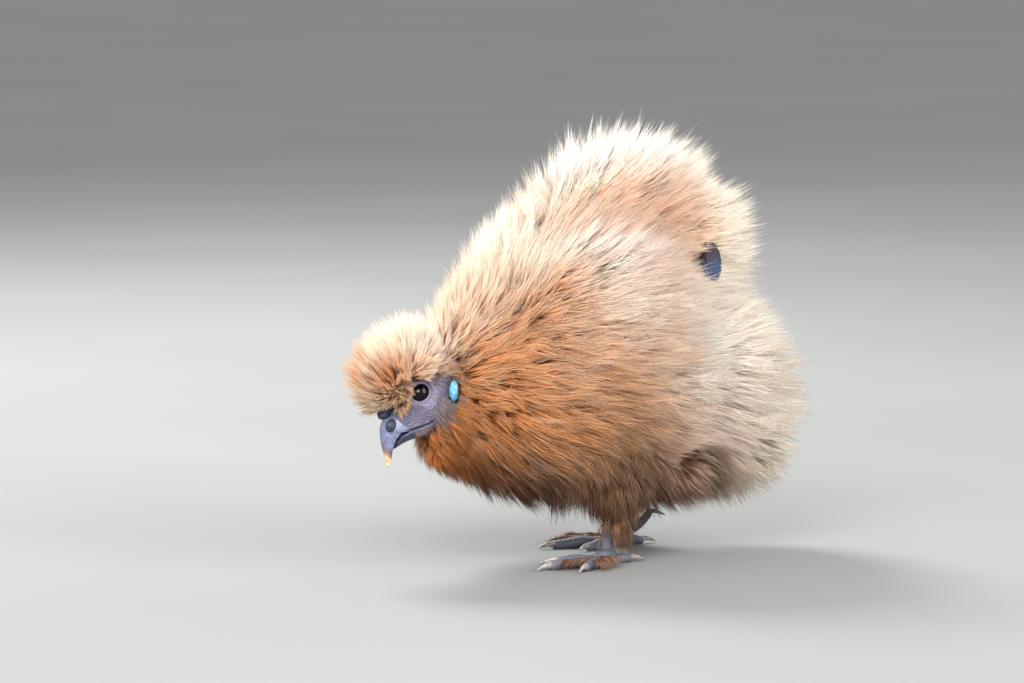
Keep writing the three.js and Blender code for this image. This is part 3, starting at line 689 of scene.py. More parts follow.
# the undercoat is short, upright and ruffled
under = draw.random(count) < np.where(root_mass_in("crest"), 0.38, 0.22)
full = np.where(under, draw.uniform(0.4, 0.8, count), draw.uniform(0.82, 1.12, count))
run = np.where(under, run * 0.5, run)
depth = share @ COAT * full * (1.12 - 0.2 * crease)
run, depth = np.where(downy, 10.0, run), np.where(downy, draw.uniform(7.2, 8.6, count), depth)
bend = draw.normal(0, 1, count) * np.where(under & ~root_mass_in("face", "neck", "throat"), 1.0, 0.3)
paths, ups = comb_out(roots, run, depth, share @ STAND, bend)

# %% [markdown]
# No tuft hangs over an eye, the comb, an earlobe or the beak. The coat also parts between wing and tail, where a fold
# of dark skin shows, and leaves only a few tufts in front of it.

# %% Clearing the face and the fold
FOLD_AT, FOLD_HALF = np.array([55.0, 32.5, 154.5]), (4.4, 9.5)  # mm, the clearing's middle, half width and half height
FOLD_WAY = np.array([0.497, -0.861, -0.105])  # the line through it that is kept clear
FOLD_LEFT = 0.12  # the share of tufts that stay

on_head = to_head(paths)
forward, aside, up = on_head[..., 0], np.abs(on_head[..., 1]), on_head[..., 2]
over_eye = (np.hypot(forward - EYE["forward"], up - EYE["up"]) < 5.5) & (aside > 6)
over_comb = (forward > 17.5) & (up < 8.5) & (aside < 6)
from_lobe = (on_head - LOBE_AT * [1, 0, 1]) @ turned(0, -LOBE_TILT)
over_lobe = (np.hypot(from_lobe[..., 0] / 3.4, from_lobe[..., 2] / 5.6) < 1) & (aside > 8)
over_beak = (forward > 20) & (up < 7) & (up > -14) | (forward > 31.5)
hanging = (over_eye | over_comb | over_lobe | over_beak).any(1)
clear = ~(hanging & root_mass_in("face", "crest", "neck", "throat"))
from_fold = one_side(paths) - FOLD_AT
in_front = from_fold[..., 1] > -2
from_fold -= (from_fold @ FOLD_WAY)[..., None] * FOLD_WAY
off_fold = np.hypot(np.hypot(from_fold[..., 0], from_fold[..., 1]) / FOLD_HALF[0], from_fold[..., 2] / FOLD_HALF[1])
over_fold = (in_front & (off_fold < draw.uniform(0.45, 1.1, (count, 1)))).any(1)
clear &= ~over_fold | (draw.random(count) < FOLD_LEFT)
roots, root_places, root_mass, downy = roots[clear], root_places[clear], root_mass[clear], downy[clear]
paths, ups = paths[clear], ups[clear]
print("path length, mm:", np.linalg.norm(np.diff(paths, axis=1), axis=2).sum(1).mean().round(1))

# %% [markdown]
# A silkie's shanks and its two outer toes are feathered too. These tufts root on the outer side of the shank and on
# top of the toes, and fall outwards in an arc. Each takes the place on the unwrap of the nearest tuft of the thigh.

# %% Feathers of the shanks and toes
LEGS = {"left": (-1, -5.0, 7.0), "right": (1, 36.0, 45.0)}  # side, and ankle and hock in mm along the bird
FOOT_SPREAD, TOE_OUT, ANKLE_HIGH, HOCK_HIGH = 28.0, 8.0, 10.0, 50.0  # mm, degrees, mm, mm
# Length in mm, degrees from straight ahead towards the outside, thickness as a share, and rise at the tip in mm
TOES = {
    "inner": (27, -30, 0.92, 0),
    "middle": (38, 0, 1.0, 0),
    "outer": (31, 30, 0.92, 0),
    "hind": (15, 172, 0.86, 0),
    "fifth": (17, 212, 0.78, 12),
}
SHANK_TUFTS, TOE_TUFTS = ((150, 36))


def shank_lean(ankle, hock, height):
    """How far forward of the foot's middle the shank is at a height, in mm."""
    return (ankle - hock) * (height - ANKLE_HIGH) / (HOCK_HIGH - ANKLE_HIGH)


def leg_tufts(name, seed):
    """Arcs from one leg, in mm. Over a share q of its way a tuft goes sideways by q times its reach, and up by
    3 q less drop times q squared."""
    draw = np.random.default_rng(seed)
    side, ankle, hock = LEGS[name]
    leg_turn = turned(180 - side * TOE_OUT)
    height, away = draw.uniform(16, 42, SHANK_TUFTS), draw.normal(0, 0.9, SHANK_TUFTS)
    lean = shank_lean(ankle, hock, height)
    out = np.stack([np.sin(away), -side * np.cos(away), 0 * away], -1)
    starts = [(np.stack([lean, 0 * lean, height], -1) + 5 * out) @ leg_turn.T]
    reaches = [(out * draw.uniform(6, 11, (SHANK_TUFTS, 1))) @ leg_turn.T]
    drops = [draw.uniform(13, 19, SHANK_TUFTS)]
    for toe in ("middle", "outer"):
        length, splay, _, _ = TOES[toe]
        toe_turn = leg_turn @ turned(-side * splay)
        along, wide = draw.uniform(0.1, 0.75, TOE_TUFTS) * length, draw.uniform(5, 12, TOE_TUFTS)
        start = np.stack([along, -side * draw.uniform(0.5, 3, TOE_TUFTS), 0 * along + 5.0], -1)
        reach = np.stack([wide * draw.uniform(0.1, 1.8, TOE_TUFTS), -side * wide, 0 * wide], -1)
        starts.append(start @ toe_turn.T)
        reaches.append(reach @ toe_turn.T)
        drops.append(draw.uniform(5.5, 9, TOE_TUFTS))
    starts, reaches, drops = np.concatenate(starts), np.concatenate(reaches), np.concatenate(drops)
    q = (np.arange(STEPS + 1) / STEPS)[None, :, None]
    fall = (3 * q - drops[:, None, None] * q**2) * [0, 0, 1]
    path = starts[:, None] + reaches[:, None] * q + fall + [ankle, side * FOOT_SPREAD, 0]
    up = unit(reaches * 0.06 + [0, 0, 1.0])
    return path, np.repeat(up[:, None], STEPS + 1, 1)


coat_count = len(roots)
for name in LEGS:
    number = NAMES.index(f"thigh_{name}")
    path, up = leg_tufts(name, 21)
    thigh = np.flatnonzero(root_mass == number)
    near = thigh[np.linalg.norm(path[:, None, 0] - roots[thigh], axis=2).argmin(1)]
    paths, ups = np.concatenate([paths, path]), np.concatenate([ups, up])
    roots = np.concatenate([roots, path[:, 0]])
    root_places = np.concatenate([root_places, root_places[near]])
    root_mass = np.append(root_mass, np.full(len(path), number))
    downy = np.append(downy, np.zeros(len(path), bool))
count = len(roots)
on_leg = np.arange(count) >= coat_count
print("tufts on shanks and toes:", on_leg.sum())

# %% [markdown]
# A blade is a thin closed prism of three sides, widest half way and pointed at its tip. Two rings and a tip make ten
# triangles. On the unwrap each blade is a patch three thousandths across at its tuft's root, so the pattern of the
# coat can be kept there.

# %% Blades
RINGS = np.array([0.0, 0.5])  # where along a blade its rings are
WIDTH_AT = np.array([0.8, 1.0])  # their widths as shares of the blade's
PATCH = 0.003  # across a blade's patch on the unwrap
CORNERS = 3 * len(RINGS)  # the point after these is the tip
BLADE_FACES = [[0, 2, 1]]
for corner in range(3):
    after = (corner + 1) % 3
    for low in range(0, CORNERS - 3, 3):
        BLADE_FACES.append([low + corner, low + after, low + after + 3])
        BLADE_FACES.append([low + corner, low + after + 3, low + corner + 3])
    BLADE_FACES.append([CORNERS - 3 + corner, CORNERS - 3 + after, CORNERS])
BLADE_FACES = np.array(BLADE_FACES)


def along_path(values, tuft, q):
    """Values held at even steps of each tuft's path, read at q of the way, in straight lines between steps."""
    where = np.clip(q, 0, 1) * STEPS
    low = np.minimum(where.astype(int), STEPS - 1)
    part = (where - low)[..., None]
    return values[tuft[:, None], low] * (1 - part) + values[tuft[:, None], low + 1] * part


def blades(tuft, spread, gather, width, stray, seed):
    """The points, seven a blade, of blades that follow the paths of their tufts. spread is how far apart they root in
    mm, gather the share of that which they lose by the tip, and stray how far their tips wander in mm."""
    draw = np.random.default_rng(seed)
    many = len(tuft)
    reach = draw.uniform(0.72, 1.0, many)
    q = np.append(RINGS, 1.0)[None] * reach[:, None]
    centre = along_path(paths, tuft, q)
    up = unit(along_path(ups, tuft, q))
    ahead = along_path(paths, tuft, q + 0.05) - along_path(paths, tuft, q - 0.05)
    side = unit(np.cross(unit(ahead), up + 0.01))
    angle, far = draw.uniform(0, 2 * np.pi, many), np.sqrt(draw.random(many)) * spread[tuft]
    apart = side[:, :1] * (np.cos(angle) * far)[:, None, None]
    apart = apart + unit(ahead)[:, :1] * (np.sin(angle) * far)[:, None, None]
    loose = (1 - gather[tuft][:, None] * q**1.2)[..., None]
    wander = draw.normal(0, 1, (many, 1, 3)) * stray[tuft][:, None, None] * (q**2)[..., None]
    centre = centre + apart * loose + wander
    run = unit(np.gradient(centre, axis=1))
    side = unit(np.cross(run, up))
    twist = draw.uniform(-0.9, 0.9, many)[:, None, None]
    side = side * np.cos(twist) + np.cross(run, side) * np.sin(twist)
    over = np.cross(side, run)
    half = (width[tuft] * draw.uniform(0.75, 1.25, many))[:, None] * WIDTH_AT / 2
    half = half[..., None]
    ring, side, over = centre[:, :-1], side[:, :-1] * half, over[:, :-1] * half * 0.7
    points = np.stack([ring + side, ring - side, ring + over], 2).reshape(many, CORNERS, 3)
    return np.concatenate([points, centre[:, -1:]], 1), q


def blade_places(tuft, seed):
    """Each blade's place on the skin's unwrap: a small patch at its tuft's root."""
    draw = np.random.default_rng(seed)
    across = np.array([-0.5, 0.5, 0.0] * len(RINGS) + [0.0]) * PATCH
    along = (np.repeat(RINGS * 0.8 - 0.5, 3) + np.array([0, 0, 0.12] * len(RINGS))) * PATCH
    patch = np.stack([across, np.append(along, 0.5 * PATCH)], -1)
    nudge = draw.uniform(-0.3, 0.3, (len(tuft), 1, 2)) * PATCH
    return np.clip(root_places[tuft][:, None] + patch + nudge, 0.001, 0.999)


FLECKED_AT, FLECKED_REACH = [-2, 62, 140], 40  # mm, the wing, whose tufts have brown tips here and there
DOWN_GREY = linear(196, 178, 174)
HEAD_ROOT_PAINTED_LIGHT = -0.4  # painted light: on crest and face blades are lighter at the root, where the parting lies in shadow, not darker


def blade_colours(tuft, q, seed):
    """Each blade's colour at its points: the marking where its tuft ends, darker near the root as painted shade
    (lighter there on crest and face, as painted light) and creamier at the tip, with some tufts and some single blades
    lighter or darker."""
    base, cream = marks_and_painted_light(paths[:, -1])
    tuft_draw = np.random.default_rng(seed)
    base[downy] = DOWN_GREY
    tone = tuft_draw.normal(0, 0.13, len(roots))
    fair = np.clip(tuft_draw.normal(0.08, 0.22, len(roots)), 0, 0.6)
    from_wing = np.linalg.norm(one_side(paths[:, -1]) - FLECKED_AT, axis=1)
    flecked = tuft_draw.random(len(roots)) < 0.14 * bell(from_wing, FLECKED_REACH)
    draw = np.random.default_rng(seed + 1)
    tone_each = tone[tuft] + draw.normal(0, 0.09, len(tuft))
    fair_each = np.clip(fair[tuft] + draw.normal(0, 0.1, len(tuft)), 0, 0.8)
    at = np.concatenate([np.repeat(q[:, :-1], 3, 1), q[:, -1:]], 1)
    # painted shade: blades darken towards the root; on crest and face they lighten there instead, as painted light
    root_shade_share = np.where(root_mass_in("crest", "face"), HEAD_ROOT_PAINTED_LIGHT, 1.0)[tuft]
    root_shade = (1 - step_up(at, 0, 0.6))[..., None] * root_shade_share[:, None, None]
    colour = base[tuft][:, None] * np.exp(tone_each)[:, None, None] * (1 - root_shade + root_shade * PAINTED_ROOT_SHADE)
    pale = np.clip(fair_each[:, None] * 0.5 + cream[tuft][:, None] * step_up(at, 0.35, 1.0), 0, 1)[..., None]
    head_end = step_up(-paths[:, -1, 0], 70, 100)[tuft][:, None, None]
    colour = colour * (1 - pale) + (CREAM + (BUTTER - CREAM) * head_end) * pale
    dark = (flecked[tuft] * draw.uniform(0.3, 1, len(tuft)))[:, None] * step_up(at, 0.5, 0.9)
    return np.clip(colour + (BROWN - colour) * 0.6 * dark[..., None], 0, 1)


def coat_piece(name, tuft, spread, gather, width, stray, seed):
    """One region of the coat as one mesh, with its unwrap and its tint."""
    points, q = blades(tuft, spread, gather, width, stray, seed)
    points[..., 2] = np.maximum(points[..., 2], 0.1)  # nothing goes under the floor
    many = len(tuft)
    faces = (BLADE_FACES[None] + np.arange(many)[:, None, None] * (CORNERS + 1)).reshape(-1, 3)
    piece = put_mesh(name, points.reshape(-1, 3), faces)
    layer = piece.data.uv_layers.new(name="OFBake")
    order = np.empty(len(piece.data.loops), np.int32)
    piece.data.loops.foreach_get("vertex_index", order)
    places = blade_places(tuft, seed + 2).reshape(-1, 2)
    layer.data.foreach_set("uv", places[order].ravel().astype(np.float32))
    tint(piece, blade_colours(tuft, q, seed + 3).reshape(-1, 3))
    piece.data.materials.append(silk)
    return piece


# %% The coat, region by region
WIDER = 1.0  # fewer tufts have wider blades
# How far apart the blades of a tuft root, how wide they are and how far their tips wander, in mm
COARSE = (3.1, 0.42, 1.3)
FINE = {"crest": (1.6, 0.32, 1.1), "face": (0.9, 0.22, 0.4), "throat": (1.5, 0.3, 0.6), "neck": (2.2, 0.36, 0.8)}
FINE |= {f"thigh_{side}": (2.4, 0.4, 1.0) for side in BODY_SIDE}
spread, width, stray = np.array([FINE.get(NAMES[mass], COARSE) for mass in root_mass]).T
width *= WIDER
gather = draw.uniform(0.1, 0.55, count)
spread[downy], width[downy], stray[downy], gather[downy] = 2.6, 0.12, 0.5, 0.0
spread[on_leg], width[on_leg], stray[on_leg] = 1.5, 0.26 * WIDER, 1.2
total_blades = 0
for number, name in enumerate(NAMES):
    tuft = np.repeat(np.flatnonzero(root_mass == number), 7 if name == "face" else 10)
    piece = coat_piece(f"silk_{name}", tuft, spread, gather, width, stray, 100 + 10 * number)
    dress(piece, "cream_plumage" if name in ("crest", "cushion", "tail", "fluff") else "buff_plumage")
    total_blades += len(tuft)
    print(f"{name}: {len(tuft)} blades, {len(piece.data.polygons)} triangles")
print("blades in all:", total_blades, "triangles:", total_blades * len(BLADE_FACES))

# %% [markdown]
# ## Head
# The face is bare, dark skin. It is one grid round the length of the head: widths and heights are curves through
# a few stations, and bells and grooves on top of them give the brow, the cheek and the corner of the mouth.

# %% The face
SKULL_LONG, SKULL_WIDE, SKULL_HIGH = 20.0, 13.25, 14.0  # mm, half of each
# Stations along the skull: where, the middle's height, and half the width and height
FACE_AT = np.array([-1, -0.9, -0.6, -0.2, 0.2, 0.55, 0.85, 0.98]) * SKULL_LONG
FACE_MIDDLE = np.array([-0.05, -0.05, -0.03, 0, -0.02, -0.1, -0.19, -0.22]) * SKULL_HIGH
FACE_WIDE = np.array([0.0, 0.5, 0.84, 1, 0.97, 0.8, 0.64, 0.56]) * SKULL_WIDE
FACE_HIGH = np.array([0.0, 0.5, 0.84, 1, 0.97, 0.82, 0.62, 0.52]) * SKULL_HIGH
MOUTH = ([6.6, 12.0, 17.9, 24.3], [-14.3, -12.4, -9.8, -6.4])  # the line of the mouth: forward and up


def face_rings(rows=176, sides=340):
    """Rings across the head. A ring is its station's ellipse, deeper and squarer below for the jaw, then pushed out
    by brow, cheek and lips and in by the eye's socket and the line of the mouth."""
    along = 19.6 - 39.6 * np.linspace(0, 1, rows) ** 1.15
    angle = np.linspace(0, 2 * np.pi, sides, endpoint=False)
    middle, wide, high = (smooth_between(along, FACE_AT, v)[:, None] for v in (FACE_MIDDLE, FACE_WIDE, FACE_HIGH))
    jaw = smooth_between(along, [-20, -6, 5, 15, 20], [0, 0.5, 3.2, 4.4, 3.0])[:, None]
    jaw = jaw * np.clip(-np.sin(angle), 0, 1)
    square = 1 - 0.35 * np.clip(jaw / 4, 0, 1)
    across = np.sign(np.cos(angle)) * np.abs(np.cos(angle)) ** square
    points = np.stack(
        [
            np.repeat(along[:, None], sides, 1),
            np.maximum(wide, 0.02) * across,
            middle + np.maximum(high, 0.02) * np.sin(angle) - jaw,
        ],
        -1,
    )
    forward, up = points[..., 0], points[..., 2]
    out = np.stack([np.zeros_like(up), np.cos(angle) + 0 * up, np.sin(angle) + 0 * up], -1)
    side = np.abs(np.cos(angle))[None] ** 0.5
    eye = np.hypot(forward - EYE["forward"], up - EYE["up"])
    move = 0.8 * bell(eye - 8.4, 2.2) * step_up(up, 2, 8) - 2.6 * (1 - step_up(eye, 5.4, 6.6))
    move += 0.5 * bell(np.hypot(forward - 4, up + 6.5), 4)
    mouth = up - np.interp(forward, *MOUTH)
    behind = step_up(forward, 5.4, 8.4)
    move -= 1.3 * bell(mouth, 0.5) * behind
    move += 0.55 * (bell(mouth - 1.2, 0.7) + bell(mouth + 1.2, 0.7)) * step_up(forward, 4.0, 9.0)
    across_folds = up - 0.2 * forward + 0.7 * ripple(points, 8, 5)
    folded = (1 - step_up(up, 0, 5)) * step_up(eye, 6, 8) * (1 - step_up(forward, 14, 20)) * step_up(mouth, -1, 2)
    beads = 0.6 + 0.4 * ripple(points * [1, 1, 0.4], 1.6, 8)
    move += 0.3 * np.sin(across_folds * 5.0) * beads * folded
    move += 0.14 * ripple(points, 1.5, 6) + 0.12 * ripple(points, 0.8, 7)
    return from_head(points + out * (move * side)[..., None])


face = shell("face_skin", face_rings())
face_points = to_head(drawn_points(face))
forward, _, up = face_points.T
FACE_GREY, LILAC, NAVY, THROAT = linear(98, 94, 112), linear(138, 128, 152), linear(32, 36, 62), linear(128, 104, 94)
eye_far = np.hypot(forward - EYE["forward"], up - EYE["up"])
mouth = up - np.interp(forward, *MOUTH)
shares = np.column_stack(
    [
        0.7 * bell(eye_far - 7, 2.5) * (1 - step_up(forward, 3, 9)),
        0.95 * bell(mouth, 0.8) * step_up(forward, 5.0, 8.0),
        0.8 * step_up(-mouth, 1.0, 3.5),
        0.5 * step_up(forward, 9, 16) * step_up(up, -9, -4),
    ]
)
face_colours = np.repeat(FACE_GREY[None], len(forward), 0) * (1 + 0.1 * ripple(face_points, 5, 9))[:, None]
for share_of, colour in zip(shares.T, (LILAC, NAVY, THROAT, linear(96, 100, 124))):
    face_colours += (colour - face_colours) * share_of[:, None]
tint(face, face_colours)
print("face points:", len(face.data.vertices))

# %% [markdown]
# Lids are a low rim round the eye. Its section is carried round the opening: it starts on the eyeball, rounds over
# and sinks into the face. The ball itself is nearly black, and wet.

# %% Eyes and lids
OPENING = (5.05, 4.35)  # half the opening along the head and up


def lid_rings(side, sides=90):
    """The lid's section, given as steps out from the opening's edge and heights over the eyeball, round the eye."""
    angle = np.linspace(0, 2 * np.pi, sides, endpoint=False)
    edge = 1 / np.sqrt((np.cos(angle) / OPENING[0]) ** 2 + (np.sin(angle) / OPENING[1]) ** 2)
    section = np.array(
        [[0.3, -0.5], [-0.12, 0.02], [-0.2, 0.28], [0.0, 0.62], [0.45, 1.0], [1.0, 1.25], [1.6, 1.3], [2.2, 1.1],
         [2.9, 0.6], [3.4, 0.0], [3.6, -1.0], [2.2, -1.6], [1.0, -1.2]]
    )
    radius = edge[:, None] + section[:, 0]
    ball_out = np.sqrt(np.maximum(EYE["radius"] ** 2 - np.minimum(radius, 5.3) ** 2, 0))
    wrinkle = 0.12 * np.sin(angle * 23)[:, None] * step_up(section[:, 0], 0.4, 1.4)
    out = EYE["out"] + ball_out * np.exp(-np.maximum(radius - 5.0, 0) * 0.18) + section[:, 1] + wrinkle
    rings = np.stack(
        [
            EYE["forward"] + radius * np.cos(angle)[:, None],
            side * out,
            EYE["up"] + radius * np.sin(angle)[:, None],
        ],
        -1,
    )
    return from_head(rings)


lids, eyes = {}, {}
for name, side in HEAD_SIDE.items():
    lids[name] = hoop(f"lid_{name}", lid_rings(side))
    middle = from_head([EYE["forward"], side * EYE["out"], EYE["up"]])
    eyes[name] = shell(f"eyeball_{name}", ball(middle, head_turn, EYE["radius"], 40, 56))

# %% [markdown]
# The beak is horn. Its upper half is an arch over a flat underside, and both halves close on a dark line. A soft lid
# bulges over each nostril, and a low knobbly comb sits on the base.

# %% Beak, nostrils, comb, wattles and earlobes
BEAK_FROM, BEAK_LONG = 19.3, 19.2


def upper_beak(rows=60, arch=40, floor=14):
    """Rings of the upper beak: ridge, edge and half width are curves along it, and the side between edge and ridge
    is edge + (ridge - edge) * sin(angle) ** 0.75."""
    along = np.linspace(0, 1, rows) ** 0.85
    knots = [0, 0.25, 0.5, 0.7, 0.86, 1.0]
    ridge = smooth_between(along, knots, [4.0, 3.9, 1.1, -3.7, -8.9, -14.0])
    edge = smooth_between(along, knots, [-9.0, -6.6, -8.6, -11.2, -14.0, -15.4])
    wide = smooth_between(along, knots, [7.4, 6.2, 4.7, 3.4, 1.9, 0.4])
    angle = np.linspace(0, np.pi, arch)
    side = wide[:, None] * np.cos(angle)
    up = edge[:, None] + (ridge - edge)[:, None] * np.sin(angle) ** 0.75
    under = np.linspace(-0.96, 0.96, floor)
    side = np.hstack([side, wide[:, None] * under])
    up = np.hstack([up, (edge[:, None] - 0.25) + 0.7 * (1 - under**2) * (1 - along[:, None])])
    forward = BEAK_FROM + BEAK_LONG * np.repeat(along[:, None], side.shape[1], 1)
    points = np.stack([forward, side, up], -1)
    grain = 0.05 * ripple(points * [0.4, 1.5, 1.5], 1.6, 21)
    return from_head(points + grain[..., None] * [0, 0.6, 0.8])


def lower_beak(rows=44, sides=44):
    """Rings of the lower beak: ellipses along a line that bends down to the tip."""
    along = np.linspace(0, 1, rows) ** 0.85
    knots = [0, 0.3, 0.62, 0.85, 1.0]
    middle = smooth_between(along, knots, [-10.9, -9.9, -9.7, -10.1, -10.8])
    wide = smooth_between(along, knots, [6.6, 5.6, 4.2, 2.6, 0.3])
    high = smooth_between(along, knots, [3.4, 3.0, 2.1, 1.2, 0.15])
    angle = np.linspace(0, 2 * np.pi, sides, endpoint=False)
    forward = BEAK_FROM - 1 + 0.62 * BEAK_LONG * np.repeat(along[:, None], sides, 1)
    up = middle[:, None] + high[:, None] * np.where(np.sin(angle) > 0, 0.75, 1.0) * np.sin(angle)
    return from_head(np.stack([forward, wide[:, None] * np.cos(angle), up], -1))


def knob(name, centre, half, rough, size, seed, rise=0.0):
    """An egg on the head with a pebbled surface: its points move along their own ways out by an unevenness."""
    spots = ball(np.zeros(3), np.eye(3), np.ones(3), 40, 56)
    shape = (spots * half) @ turned(0, -rise).T
    bumps = rough * ripple(shape, size, seed) + 0.5 * rough * ripple(shape, size * 0.5, seed + 1)
    return shell(name, from_head(np.array(centre) + shape + (spots @ turned(0, -rise).T) * bumps[..., None]))


beak_top = shell("beak_top", upper_beak())
beak_under = shell("beak_under", lower_beak())
KNOBS_AT = [[18, 2.2, 6.4], [18, -2.2, 6.4], [22.4, 0.8, 5.8], [21.5, -2.2, 5.2], [21.6, 2.8, 5.0], [15.4, 0.2, 8.2]]
KNOB_SIZES = [2.9, 2.9, 2.7, 2.3, 2.1, 2.6]  # mm, half across
comb_knobs = [
    knob(f"knob_{i}", centre, np.array([size, size, size * 1.05]), 0.28, 1.7, 30 + i)
    for i, (centre, size) in enumerate(zip(KNOBS_AT, KNOB_SIZES))
]
comb = melted(joined("comb_flesh", comb_knobs), 0.35, 2)
# Middle in mm forward, out and up, half sizes, height and length of the pebbles, seed and rise in degrees
NOSTRIL = ([24.0, 4.9, -1.0], [3.6, 2.3, 2.8], 0.1, 2.0, 40, -24)
LOBE = (LOBE_AT, [2.4, 2.4, 5.3], 0.12, 1.6, 50, LOBE_TILT)
WATTLE = ([13, 4.0, -15.4], [2.0, 1.0, 2.5], 0.2, 1.5, 60, 12)
nostrils, lobes, wattles = {}, {}, {}
for name, side in HEAD_SIDE.items():
    for label, (centre, *shape), made in (
        ("nostril", NOSTRIL, nostrils), ("lobe", LOBE, lobes), ("wattle_flesh", WATTLE, wattles)
    ):
        made[name] = knob(f"{label}_{name}", np.array(centre) * [1, side, 1], *shape)

# %% [markdown]
# The fold of skin in the clearing between wing and tail is an egg with creases down it, most of it in the coat.

# %% The fold of skin
def fold_rings():
    """An egg that leans by 12 degrees. Its points move along their own ways out, by long and by short unevenness."""
    spots = ball(np.zeros(3), turned(0, -12), np.array([5.6, 3.5, 11.0]), 60, 60)
    creases = 0.5 * ripple(spots * [1, 1, 0.15], 3.0, 65) + 0.2 * ripple(spots, 1.5, 66)
    return spots + unit(spots) * creases[..., None] + FOLD_AT


folds = [shell(f"side_skin_{name}", fold_rings() * [1, side, 1]) for name, side in BODY_SIDE.items()]

# %% Head materials
SLATE = linear(104, 110, 138)
NIGHT = linear(46, 48, 68)
HORN_YELLOW, HORN_BROWN = linear(214, 182, 130), linear(112, 84, 76)
# the first of these is painted shadow at the top of the fold, the second the skin's own slate blue
FOLD_PAINTED_SHADOW, FOLD_BLUE = linear(38, 32, 38), linear(52, 68, 104)


def face_finish():
    """Bare skin: its tint, in fine paler and darker grains, pebbled all over."""
    finish = Finish("bare_skin", 0.55, Specular_IOR_Level=0.35)
    grains = finish.ramp(
        finish.noise(1300, 5.0, 0.65), (0.32, (0.5, 0.5, 0.56)), (0.5, (1, 1, 1)), (0.7, (1.7, 1.62, 1.55))
    )
    finish.colour(finish.multiplied(finish.tint(), grains))
    finish.bump(finish.noise(1500), 0.0004, 0.7)
    return finish.material


def beak_finish():
    """Horn: its tint, in paler and darker patches, smooth and with a faint grain."""
    finish = Finish("horn", 0.32, Specular_IOR_Level=0.5)
    streak = finish.ramp(finish.noise(500, 4.0), (0.35, (0.7, 0.7, 0.72)), (0.65, (1.25, 1.25, 1.25)))
    finish.colour(finish.multiplied(finish.tint(), streak))
    finish.bump(finish.noise(900), 0.0002, 0.4)
    return finish.material


def eye_finish():
    """The eye: nearly black under a wet, clear front."""
    finish = Finish("eye", 0.05, Specular_IOR_Level=0.26)
    finish.colour(finish.ramp(finish.noise(300), (0.4, linear(4, 4, 5)), (0.7, linear(13, 9, 9))))
    return finish.material


def flesh_finish(name, *stops):
    """Comb, wattle or lobe flesh: its colours in small patches, pebbled."""
    finish = Finish(name, 0.5, Specular_IOR_Level=0.45)
    finish.colour(finish.ramp(finish.noise(600, 4.0), *stops))
    finish.bump(finish.noise(1200), 0.0003, 0.6)
    return finish.material


bare_skin, horn = face_finish(), beak_finish()
dark_flesh = flesh_finish(
    "dark_flesh", (0.35, linear(30, 32, 50)), (0.6, linear(50, 52, 76)), (0.8, linear(84, 84, 110))
)
lobe_flesh = flesh_finish(
    "lobe_flesh", (0.3, linear(62, 136, 168)), (0.5, linear(90, 164, 192)), (0.7, linear(142, 196, 212))
)
for piece in (beak_top, beak_under):
    forward, _, up = to_head(drawn_points(piece)).T
    tip = step_up(forward, 33.0, 37.5)[:, None]
    band = bell(forward - 34.2, 1.6)[:, None]
    edge = bell(up + 10.6, 1.1)[:, None] * (1 - tip) * (piece is beak_top)
    base = SLATE * 1.05 if piece is beak_top else NIGHT * 1.4
    blend = base * (1 - tip) * (1 - 0.4 * edge) + HORN_YELLOW * tip
    tint(piece, blend + (HORN_BROWN - blend) * 0.6 * band)
dress(face, "face_skin", "head", material=bare_skin)
dress(beak_top, "beak", "beak_upper", material=horn)
dress(beak_under, "beak", "beak_lower", material=horn)
dress(comb, "comb", "comb", material=dark_flesh)
for fold in folds:
    # painted shadow: the fold is dark at its top, under the coat that overhangs it, and slate blue below
    low = 1 - step_up(drawn_points(fold)[:, 2:], 150, 159)
    tint(fold, FOLD_PAINTED_SHADOW + (FOLD_BLUE - FOLD_PAINTED_SHADOW) * low)
    dress(fold, "face_skin", material=bare_skin)
eye_material = eye_finish()
for name in HEAD_SIDE:
    tint(lids[name], np.repeat(LILAC[None] * 0.8, len(lids[name].data.vertices), 0))
    dress(lids[name], "face_skin", material=bare_skin)
    dress(eyes[name], "eye", f"eye_{name}", material=eye_material)
    dress(nostrils[name], "beak", material=dark_flesh)
    dress(lobes[name], "earlobe", f"earlobe_{name}", material=lobe_flesh)
    dress(wattles[name], "comb", f"wattle_{name}", material=dark_flesh)
print("dressed: face, beak, comb and folds, and each side's lid, eye, nostril, lobe and wattle")

# %% [markdown]
# ## Legs
# A silkie has five toes, and dark scaly legs. Shank, toes and pads are tubes, melted into one surface so that they
# flow into each other. Claws are curved cones of horn.

# %% Legs, feet and claws
TOE_THICK, SHANK_THICK = 3.2, 4.2  # mm, half across
SOLE = 0.78  # a toe's middle stands over the floor by this share of its half thickness


def tube_rings(spots, wide, high, frame_turn, origin, sides=24):
    """Rings round a line in its own upright plane, given as (along, up) spots with half widths and half heights."""
    run = unit(np.gradient(spots, axis=0))
    angle = np.linspace(0, 2 * np.pi, sides, endpoint=False)
    lift = high[:, None] * np.sin(angle)
    points = np.stack(
        [spots[:, :1] - run[:, 1:] * lift, wide[:, None] * np.cos(angle), spots[:, 1:] + run[:, :1] * lift], -1
    )
    return points @ frame_turn.T + origin


def rounded(q, start=0.03, end=0.06):
    """A swelling that starts and ends round: 1 along the middle and falling as a circle does at both ends."""
    from_start, from_end = np.clip((start - q) / start, 0, 1), np.clip((q - 1 + end) / end, 0, 1)
    return np.sqrt(np.clip(1 - from_start**2, 0.01, 1)) * np.sqrt(np.clip(1 - from_end**2, 0.01, 1))


